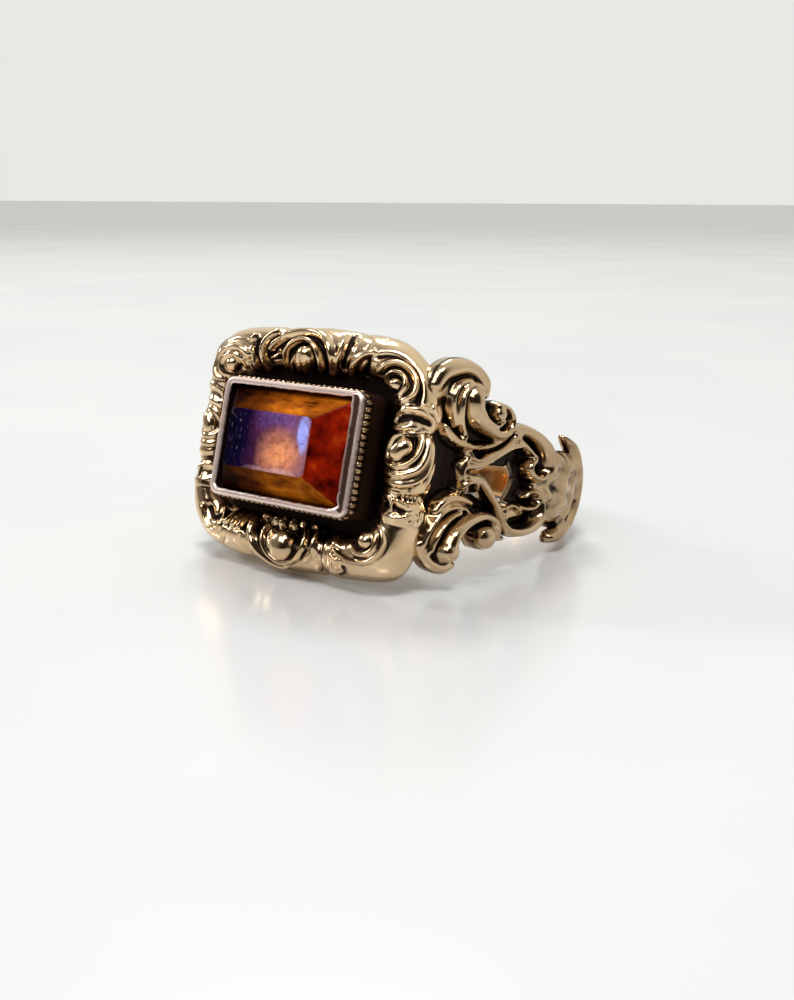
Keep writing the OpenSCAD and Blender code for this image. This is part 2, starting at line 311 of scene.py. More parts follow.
# Leaves, rings and grooves of the cast ornament, painted one over the other in this order. The columns are
# shape, run, half-width at the start, half-width at the end, height. The run is x and z in mm on the face
# rolled out flat from its crest, so a place on the outer slope lies farther out than it stands.
faceLeaves = {
    "topGround": ("sunk", [(-5.6, 4.6), (-4.0, 5.0), (-2.4, 5.3), (-0.8, 5.5),
                           (0.6, 5.0)], 0.9, 0.9, 0.24),
    "cornerLeaf": ("round", [(-6.0, 4.9), (-5.3, 5.2), (-4.9, 4.8), (-4.6, 4.2),
                             (-4.2, 3.7)], 0.2, 0.2, 0.26),
    "outerBlade": ("ridge", [(-4.3, 5.9), (-4.5, 5.3), (-4.3, 4.6), (-3.9, 3.9)], 0.16, 0.22, 0.34),
    "broadBlade": ("round", [(-2.9, 6.2), (-3.3, 5.7), (-3.5, 5.1), (-3.4, 4.4),
                             (-3.0, 3.6)], 0.22, 0.26, 0.34),
    "bladeHook": ("ridge", [(-2.9, 4.7), (-2.4, 4.9), (-2.3, 5.2)], 0.16, 0.12, 0.26),
    "topScroll": ("round", [(-2.9, 5.2), (-2.4, 5.8), (-1.6, 6.25), (-0.6, 6.4), (0.4, 6.2), (1.1, 5.7),
                            (1.45, 5.0), (1.3, 4.4), (0.9, 3.8)], 0.22, 0.3, 0.3),
    "scrollLip": ("ridge", [(-1.9, 4.2), (-1.9, 4.9), (-1.5, 5.5), (-0.8, 5.85), (0.0, 5.7), (0.5, 5.2),
                            (0.55, 4.5), (0.3, 3.8)], 0.2, 0.18, 0.36),
    "eggHusk": ("round", [(-1.5, 3.9), (-1.4, 4.5), (-1.05, 5.0)], 0.24, 0.16, 0.34),
    "topEgg": ("round", [(-0.6, 4.5), (-0.35, 4.9)], 0.62, 0.66, 0.56),
    "eggCleft": ("groove", [(-0.75, 4.0), (-0.55, 4.5), (-0.5, 5.0)], 0.09, 0.07, 0.2),
    "eggFold": ("groove", [(-0.15, 4.1), (-0.05, 4.6), (-0.1, 5.0)], 0.08, 0.06, 0.16),
    "rightOfEgg": ("ridge", [(1.9, 6.4), (2.0, 5.7), (1.85, 5.0), (1.5, 4.3)], 0.26, 0.2, 0.22),
    "foldA": ("groove", [(2.3, 6.7), (2.35, 5.9), (2.2, 5.2), (1.8, 4.4)], 0.1, 0.14, 0.34),
    "foldB": ("groove", [(2.7, 6.5), (2.7, 5.8), (2.5, 5.1), (2.1, 4.3)], 0.07, 0.1, 0.2),
    "topLeaf": ("round", [(4.1, 5.5), (3.5, 5.3), (2.9, 4.8), (2.4, 4.2)], 0.2, 0.3, 0.26),
    "topLeafFold": ("groove", [(3.9, 5.1), (3.6, 4.6), (3.0, 3.9)], 0.07, 0.14, 0.3),
    "foldedSeam": ("groove", [(2.9, 6.7), (3.4, 6.5), (3.7, 6.1), (3.65, 5.75)], 0.05, 0.05, 0.2),
    "nick": ("groove", [(4.5, 6.7), (4.4, 6.3)], 0.06, 0.05, 0.12),
    "bottomGround": ("sunk", [(-4.4, -4.3), (-3.0, -4.4), (-1.2, -4.6), (0.2, -4.7),
                              (1.8, -4.3)], 0.7, 0.8, 0.22),
    "scoopLip": ("ridge", [(-6.2, -4.2), (-5.9, -4.9), (-5.3, -5.4), (-4.7, -5.2), (-4.6, -4.6),
                           (-4.8, -4.0)], 0.16, 0.14, 0.22),
    "scoop": ("groove", [(-5.7, -4.2), (-5.35, -4.7), (-5.1, -4.6)], 0.24, 0.2, 0.3),
    "gadroonA": ("ridge", [(-4.3, -4.8), (-4.0, -4.2), (-3.6, -3.6)], 0.16, 0.14, 0.26),
    "gadroonB": ("ridge", [(-3.85, -4.9), (-3.55, -4.3), (-3.1, -3.6)], 0.16, 0.14, 0.26),
    "gadroonC": ("ridge", [(-3.35, -5.0), (-3.1, -4.3), (-2.6, -3.6)], 0.16, 0.14, 0.26),
    "lobeA": ("groove", [(-4.1, -5.1), (-4.3, -5.8), (-4.9, -6.4)], 0.07, 0.06, 0.2),
    "lobeB": ("round", [(-3.1, -5.2), (-3.3, -5.8), (-3.1, -6.4), (-2.6, -6.9)], 0.2, 0.1, 0.12),
    "brightFold": ("round", [(-2.35, -4.3), (-2.35, -4.9), (-2.0, -5.6), (-1.5, -6.2), (-0.8, -6.7),
                             (0.1, -6.9)], 0.36, 0.12, 0.3),
    "bottomRing": ("ridge", [(-1.3, -4.3), (-1.4, -5.0), (-1.15, -5.8), (-0.5, -6.35), (0.25, -6.45),
                             (1.0, -6.1), (1.45, -5.5), (1.5, -4.8), (1.1, -4.2)], 0.17, 0.17, 0.28),
    "bottomBall": ("round", [(0.1, -5.3), (0.1, -5.5)], 0.78, 0.8, 0.5),
    "ballHusk": ("ridge", [(-0.75, -4.7), (-0.85, -5.3), (-0.6, -5.8)], 0.13, 0.1, 0.4),
    "berry": ("round", [(-1.85, -3.7), (-1.75, -3.6)], 0.42, 0.42, 0.36),
    "dropA": ("round", [(-1.05, -4.1), (-0.95, -4.0)], 0.2, 0.2, 0.44),
    "dropB": ("round", [(-0.5, -4.3), (-0.4, -4.2)], 0.22, 0.22, 0.48),
    "dropC": ("round", [(0.15, -4.2), (0.25, -4.1)], 0.2, 0.2, 0.44),
    "dropD": ("round", [(-0.8, -3.6), (-0.7, -3.5)], 0.18, 0.18, 0.34),
    "dropE": ("round", [(-0.2, -3.65), (-0.1, -3.55)], 0.18, 0.18, 0.34),
    "dropF": ("round", [(0.4, -3.7), (0.5, -3.6)], 0.18, 0.18, 0.34),
    "rightHusk": ("round", [(1.0, -3.5), (1.7, -3.9), (2.15, -4.6), (2.2, -5.3),
                            (1.8, -6.0)], 0.2, 0.2, 0.3),
    "foldC": ("groove", [(2.2, -3.8), (2.7, -4.8), (2.8, -5.8), (2.5, -7.1)], 0.09, 0.12, 0.2),
    "foldD": ("groove", [(2.6, -3.8), (3.05, -4.8), (3.15, -5.8), (2.9, -7.1)], 0.07, 0.09, 0.16),
    "lobeC": ("round", [(3.0, -4.0), (3.6, -4.8), (3.8, -5.4), (3.8, -6.0)], 0.34, 0.26, 0.16),
    "foldE": ("groove", [(3.5, -5.3), (4.0, -5.4), (4.4, -5.3)], 0.07, 0.05, 0.2),
    "pocket": ("groove", [(4.3, -6.0), (4.2, -6.5), (3.8, -6.9)], 0.16, 0.14, 0.2),
    "voluteLip": ("ridge", [(3.7, -5.1), (4.5, -5.4), (5.2, -5.45), (5.95, -5.3), (6.5, -4.85),
                            (6.75, -4.2), (6.5, -3.6), (5.9, -3.2), (5.1, -3.15)], 0.15, 0.15, 0.26),
    "voluteRing": ("round", [(4.7, -4.6), (5.2, -4.95), (5.8, -4.95), (6.25, -4.6), (6.3, -4.0),
                             (5.9, -3.6), (5.3, -3.5)], 0.22, 0.2, 0.2),
    "voluteBall": ("round", [(5.6, -4.2), (5.65, -4.2)], 0.52, 0.52, 0.46),
}
# These lie at the right, and again at the left by way of |x|.
sideLeaves = {
    "voluteGround": ("groove", [(4.4, 5.3), (5.1, 5.5), (5.9, 5.4), (6.6, 5.0), (7.1, 4.4), (7.35, 3.7),
                                (7.3, 3.1)], 0.13, 0.17, 0.24),
    "voluteLip": ("ridge", [(4.5, 4.6), (5.0, 5.0), (5.7, 5.1), (6.4, 4.85), (6.9, 4.35), (7.05, 3.75),
                            (6.75, 3.3), (6.2, 3.15)], 0.24, 0.2, 0.34),
    "voluteRing": ("round", [(4.8, 4.0), (5.1, 4.45), (5.7, 4.65), (6.3, 4.4), (6.5, 3.9), (6.2, 3.5),
                             (5.6, 3.4)], 0.18, 0.16, 0.3),
    "voluteBall": ("round", [(5.65, 4.0), (5.75, 4.0)], 0.38, 0.38, 0.44),
    "hookRidge": ("ridge", [(5.3, 3.1), (6.1, 2.95), (7.0, 2.95), (7.8, 3.05),
                            (8.5, 3.2)], 0.16, 0.14, 0.26),
    "curl": ("round", [(8.2, 3.3), (8.5, 3.6), (8.75, 3.3)], 0.15, 0.12, 0.22),
    "hollowRim": ("ridge", [(6.0, 1.9), (6.15, 2.4), (6.8, 2.75), (7.7, 2.8), (8.5, 2.5),
                            (8.9, 2.1)], 0.15, 0.15, 0.3),
    "hollow": ("groove", [(6.6, 2.3), (7.3, 2.4), (8.1, 2.3)], 0.16, 0.14, 0.2),
    "flatBand": ("flat", [(6.2, 1.75), (7.1, 1.85), (8.0, 1.95), (8.8, 2.15)], 0.24, 0.28, 0.3),
    "leftLoop": ("ridge", [(5.9, 1.6), (5.5, 1.8), (5.5, 2.2), (5.95, 2.35)], 0.13, 0.13, 0.26),
    "rimCrescent": ("round", [(9.15, 1.4), (9.2, 0.6), (9.05, -0.2), (8.6, -0.95),
                              (7.8, -1.2)], 0.26, 0.2, 0.22),
    "outerCrescent": ("round", [(8.65, 1.55), (8.75, 0.7), (8.5, -0.2), (7.9, -0.8), (7.1, -1.05),
                                (6.3, -1.0), (5.7, -0.6)], 0.27, 0.24, 0.28),
    "innerCrescent": ("round", [(8.15, 1.5), (8.25, 0.7), (7.95, -0.1), (7.3, -0.5), (6.5, -0.6),
                                (5.85, -0.3)], 0.28, 0.24, 0.34),
    "budLip": ("ridge", [(7.6, 1.75), (7.8, 1.1), (7.65, 0.4), (7.15, -0.1), (6.5, -0.15), (6.0, 0.2),
                         (6.0, 0.8), (6.5, 1.3), (7.5, 1.7)], 0.26, 0.24, 0.42),
    "bud": ("round", [(6.75, 0.5), (7.0, 0.8)], 0.52, 0.5, 0.56),
    "budCleft": ("groove", [(6.45, 0.2), (6.45, 0.6), (6.7, 1.0)], 0.08, 0.06, 0.18),
    "wornBand": ("flat", [(6.0, -1.4), (7.2, -1.5), (8.5, -1.35)], 0.24, 0.24, 0.2),
    "wrinkleA": ("groove", [(6.0, -1.3), (7.0, -1.4), (8.4, -1.25)], 0.05, 0.05, 0.12),
    "wrinkleB": ("groove", [(6.3, -1.6), (7.2, -1.65), (8.2, -1.55)], 0.05, 0.05, 0.1),
    "stitchA": ("ridge", [(7.2, -1.7), (7.4, -2.0)], 0.09, 0.08, 0.24),
    "stitchB": ("ridge", [(7.45, -1.7), (7.65, -2.0)], 0.09, 0.08, 0.24),
    "stitchC": ("ridge", [(7.7, -1.7), (7.9, -2.0)], 0.09, 0.08, 0.24),
    "stitchD": ("ridge", [(7.95, -1.7), (8.15, -2.0)], 0.09, 0.08, 0.24),
    "lowerRim": ("ridge", [(5.6, -2.1), (6.1, -1.8), (6.8, -1.85), (7.4, -2.15), (8.1, -2.2),
                           (8.8, -2.0)], 0.16, 0.14, 0.3),
    "lowerHollow": ("groove", [(6.2, -2.2), (6.9, -2.3), (7.5, -2.45)], 0.16, 0.12, 0.24),
    "hollowRib": ("ridge", [(6.8, -1.9), (6.85, -2.6)], 0.09, 0.09, 0.26),
    "lowerLip": ("ridge", [(5.6, -2.2), (6.2, -2.65), (7.0, -2.8), (7.8, -2.7),
                           (8.5, -2.4)], 0.16, 0.14, 0.28),
    "beadA": ("round", [(8.3, -2.8), (8.35, -2.8)], 0.16, 0.16, 0.26),
    "beadB": ("round", [(8.7, -3.0), (8.75, -3.0)], 0.15, 0.15, 0.26),
    "beadC": ("round", [(8.0, -2.95), (8.05, -2.95)], 0.13, 0.13, 0.22),
    "cornerRidge": ("ridge", [(5.9, -2.9), (6.9, -3.0), (7.8, -3.05), (8.6, -3.4)], 0.16, 0.1, 0.16),
}


def outlineR(angle, halfW, halfH, square):
    # superellipse: 1/r^n = (|cos|/a)^n + (|sin|/b)^n
    across, up = np.abs(np.cos(angle)) / halfW, np.abs(np.sin(angle)) / halfH
    return (across ** square + up ** square) ** (-1 / square)


def lobeOf(angle):
    # sum of bell curves round the turn
    def turnTo(a):
        return np.degrees(np.angle(np.exp(1j * (angle - np.radians(a)))))
    return sum(h * np.exp(-(turnTo(a) / w) ** 2) for a, h, w in border["lobes"])


def wellR(angle):
    return outlineR(angle, border["wellWidth"] / 2, border["wellHeight"] / 2, border["wellSquare"])


def rimR(angle):
    return outlineR(angle, border["width"] / 2, border["height"] / 2, border["square"]) + lobeOf(angle)


def paint(x, z, leaves):
    # each leaf lies over what is there already, with a fine trench along its edge; grooves cut in
    relief = np.zeros_like(x)
    for shape, run, startW, endW, height in leaves.values():
        path = smoothPath(run, max(10, 5 * len(run)))
        near, t, gaps = gapsToPath(x, z, path, 2.2 * max(startW, endW) + 0.15)
        best = gaps.argmin(1)
        pick = np.arange(len(best))
        gap = gaps[pick, best]
        wide = startW + (endW - startW) * (best + t[pick, best]) / (len(path) - 1)
        q = gap / wide
        if shape == "groove":
            relief[near] -= height * np.exp(-q ** 2)
        elif shape == "sunk":
            relief[near] = np.minimum(relief[near], -height * np.clip(1.6 - 1.3 * q, 0, 1))
        else:
            power, root = leafSections[shape]
            own = height * np.clip(1 - q ** power, 0, 1) ** root
            trench = border["trenchDeep"] * np.exp(-((gap - wide) / border["trenchWide"]) ** 2)
            relief[near] = np.where(q < 1, own, relief[near]) - trench
    return relief


def faceRelief(x, z):
    side = paint(np.abs(x), z, sideLeaves) * np.where(x < 0, border["leftWear"], 1.0)
    return np.where(np.abs(side) > 0.004, side, paint(x, z, faceLeaves))


def makeBorder():
    # grid: round the outline x across a half-round section, then round under it
    b = border
    fine = np.linspace(0, 2 * np.pi, 4001)
    mid = 0.5 * (wellR(fine) + rimR(fine))
    step = np.hypot(np.diff(mid * np.cos(fine)), np.diff(mid * np.sin(fine)))
    along = np.concatenate([[0], np.cumsum(step)])
    theta = np.interp(np.linspace(0, along[-1], b["around"], endpoint=False), along, fine)[:, None]
    phi = np.linspace(0, np.pi, b["across"])[None, :]
    inner, outer, rise = wellR(theta), rimR(theta), b["crestY"] - b["edgeY"]
    ones, under = np.ones_like(theta), np.array(b["under"])
    dome = b["edgeY"] + rise * np.sin(phi) + b["lobeRise"] * lobeOf(theta) * np.sin(phi)
    depth = np.concatenate([dome, ones * (b["edgeY"] + under[:, 1])], 1)
    share = np.concatenate([ones * (0.5 - 0.5 * np.cos(phi)), ones * under[:, 0]], 1)
    radius = inner + (outer - inner) * share
    grid = np.stack([radius * np.cos(theta), -depth, radius * np.sin(theta)], -1)
    # the half-round section rolled out flat: distance along it from the crest, added to the crest's radius
    speed = np.hypot(0.5 * (outer - inner) * np.sin(phi), rise * np.cos(phi))
    steps = np.cumsum(0.5 * (speed[:, 1:] + speed[:, :-1]), 1)
    arc = np.concatenate([0 * theta, steps], 1) * (phi[0, 1] - phi[0, 0])
    flat = 0.5 * (inner + outer) + arc - 0.5 * arc[:, -1:]
    fade = np.ones(b["across"])
    fade[-b["fadeOut"]:] = np.linspace(1, 0, b["fadeOut"]) ** 0.7
    fade[:b["fadeIn"]] = np.linspace(0.2, 1, b["fadeIn"])
    relief = np.zeros(grid.shape[:2])
    onFace = slice(0, b["across"])
    relief[:, onFace] = faceRelief(flat * np.cos(theta), flat * np.sin(theta)) * fade
    relief = blurred(relief, 1, True)
    recess = patinaAndShadeOf(relief, b, True)
    # patina and painted shade: dark along the foot of the well; painted shade: dark all underneath
    recess[:, onFace] = np.maximum(recess[:, onFace], np.clip(1.1 - phi / 0.26, 0, 1) * 0.9)
    recess[:, b["across"] + 8:] = 1.0
    return grid + outwards(grid) * relief[..., None], gridQuads(grid, True)[:, ::-1], recess


borderGrid, borderQuads, borderRecess = makeBorder()
borderPiece = addPiece("border", [(borderGrid, borderQuads)], yellowGold, {"recess": borderRecess})
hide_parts("ring_mount")

# The floor of the well, and the closed box behind it; the lap is how far each reaches into the border.
plate = {
    "halfW": 6.05, "halfH": 4.45, "corner": 0.9, "lap": 0.1,
    "boxHalfW": 5.5, "boxHalfH": 3.6, "boxCorner": 0.8, "boxLap": 0.2,
    # walls of the box: share of the way from its top to the hollow, and how far they are drawn in there
    "walls": [(0, 0.0), (0.45, 0.02), (0.75, 0.06), (0.9, 0.12), (0.97, 0.22), (1, 0.4)],
    "around": 160, "undersideRings": 24, "boxPatina": 0.15,
}


def oblong(halfW, halfH, corner, y, steps=8):
    # rounded rectangle in the face plane, at one distance from the finger
    a = np.linspace(0, np.pi / 2, steps + 1)
    turn = np.concatenate([a + k * np.pi / 2 for k in range(4)])
    sx = np.repeat([1, -1, -1, 1], steps + 1)
    sz = np.repeat([1, 1, -1, -1], steps + 1)
    corner = min(corner, halfW, halfH)
    return np.stack([sx * (halfW - corner) + corner * np.cos(turn), np.full(turn.shape, -float(y)),
                     sz * (halfH - corner) + corner * np.sin(turn)], -1)


def denseOblong(halfW, halfH, corner, y, count=360):
    # the rounded rectangle again, with points evenly spaced along it
    corners = oblong(halfW, halfH, corner, y, 12)
    loop = np.vstack([corners, corners[:1]])
    along = np.concatenate([[0], np.cumsum(np.linalg.norm(np.diff(loop, axis=0), axis=1))])
    want = np.linspace(0, along[-1], count, endpoint=False)
    return np.stack([np.interp(want, along, loop[:, j]) for j in range(3)], -1)


def makeBack():
    # the floor plate, and the box whose underside is hollowed to the finger
    p = plate
    levels = (ring["backY"] + p["lap"], ring["floorY"])
    floor = lofted([oblong(p["halfW"], p["halfH"], p["corner"], y) for y in levels])
    lastInset = p["walls"][-1][1]
    rows = [(down, inset, 1) for down, inset in p["walls"]]
    rows += [(1, lastInset, share) for share in np.linspace(0.96, 0.04, p["undersideRings"])]
    top = ring["backY"] + p["boxLap"]
    rings = []
    for down, inset, share in rows:
        halfW, halfH = (p["boxHalfW"] - inset) * share, (p["boxHalfH"] - inset) * share
        loop = denseOblong(halfW, halfH, p["boxCorner"] * share, 0, p["around"])
        hollow = np.sqrt(np.clip(ring["fingerR"] ** 2 - loop[:, 0] ** 2, 0, None))
        loop[:, 1] = -(top + (np.maximum(ring["saddleY"], hollow) - top) * down)
        rings.append(loop)
    box = np.stack(rings)
    middle, n = box.shape[0] * box.shape[1], box.shape[1]
    points = np.vstack([box.reshape(-1, 3), [[0, -ring["fingerR"], 0]]])
    # its rings run towards the finger, so its faces turn the other way; the underside closes in a fan
    last = np.arange(middle - n, middle)
    fan = np.stack([np.roll(last, -1), last, np.full(n, middle)], -1)
    faces = [tuple(face) for face in (*gridQuads(box), range(n), *fan)]
    # patina and painted shade: the floor of the well is dark all over
    recess = np.concatenate([np.ones(floor[0][..., 0].size), np.full(len(points), p["boxPatina"])])
    return [floor, (points, faces)], recess


backParts, backRecess = makeBack()
backPiece = addPiece("backBox", backParts, yellowGold, {"recess": backRecess})
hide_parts("ring_mount")

shank = {
    "sideW": 2.7, "backW": 2.1, "startDeg": 26, "around": 220, "across": 40,
    # how the front ends run out: degrees before the middle, inner radius, outer radius
    "ends": [(0, 8.5, 9.65), (4, 8.5, 9.6), (11, 8.54, 9.03), (18, 8.85, 9.2), (26, 9.42, 9.52)],
    "glowStrength": 0.6, "glowToDeg": 14,  # painted warm reflected light inside the hoop, fading towards its ends
}


def makeShank():
    # D section carried round the hoop: flat inside with eased edges, domed outside, narrower at the back
    a = np.radians(np.linspace(-shank["startDeg"], 180 + shank["startDeg"], shank["around"]))[:, None]
    half = 0.5 * (shank["sideW"] + (shank["backW"] - shank["sideW"]) * np.clip(np.sin(a), 0, None))
    t = np.linspace(0, 2 * np.pi, shank["across"], endpoint=False)[None, :]
    side = np.sign(np.cos(t)) * np.abs(np.cos(t)) ** 0.55
    rise = np.sin(t)
    high = np.where(rise > 0, np.abs(rise) ** 0.75, -np.abs(rise) ** 0.35)
    before = np.degrees(np.maximum(np.maximum(-a, a - np.pi), 0))
    at, inside, outside = np.array(shank["ends"]).T
    low, top = np.interp(before, at, inside), np.interp(before, at, outside)
    middle = low + 0.26 * (top - low)
    radius = middle + np.where(high > 0, high * (top - middle), high * (middle - low))
    grid = np.stack(np.broadcast_arrays(radius * np.cos(a), radius * np.sin(a), half * side), -1)
    fade = np.clip((shank["glowToDeg"] - before) / shank["glowToDeg"], 0, 1)
    # the last value is painted warm reflected light on the inner side
    return *lofted(grid), shank["glowStrength"] * np.clip(-1.6 * high, 0, 1) * fade


shankGrid, shankFaces, shankGlow = makeShank()
shankTones = {"recess": 0 * shankGlow, "warmGlow": shankGlow}
shankPiece = addPiece("shank", [(shankGrid, shankFaces)], hoopGold, shankTones)
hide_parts("ring_mount")

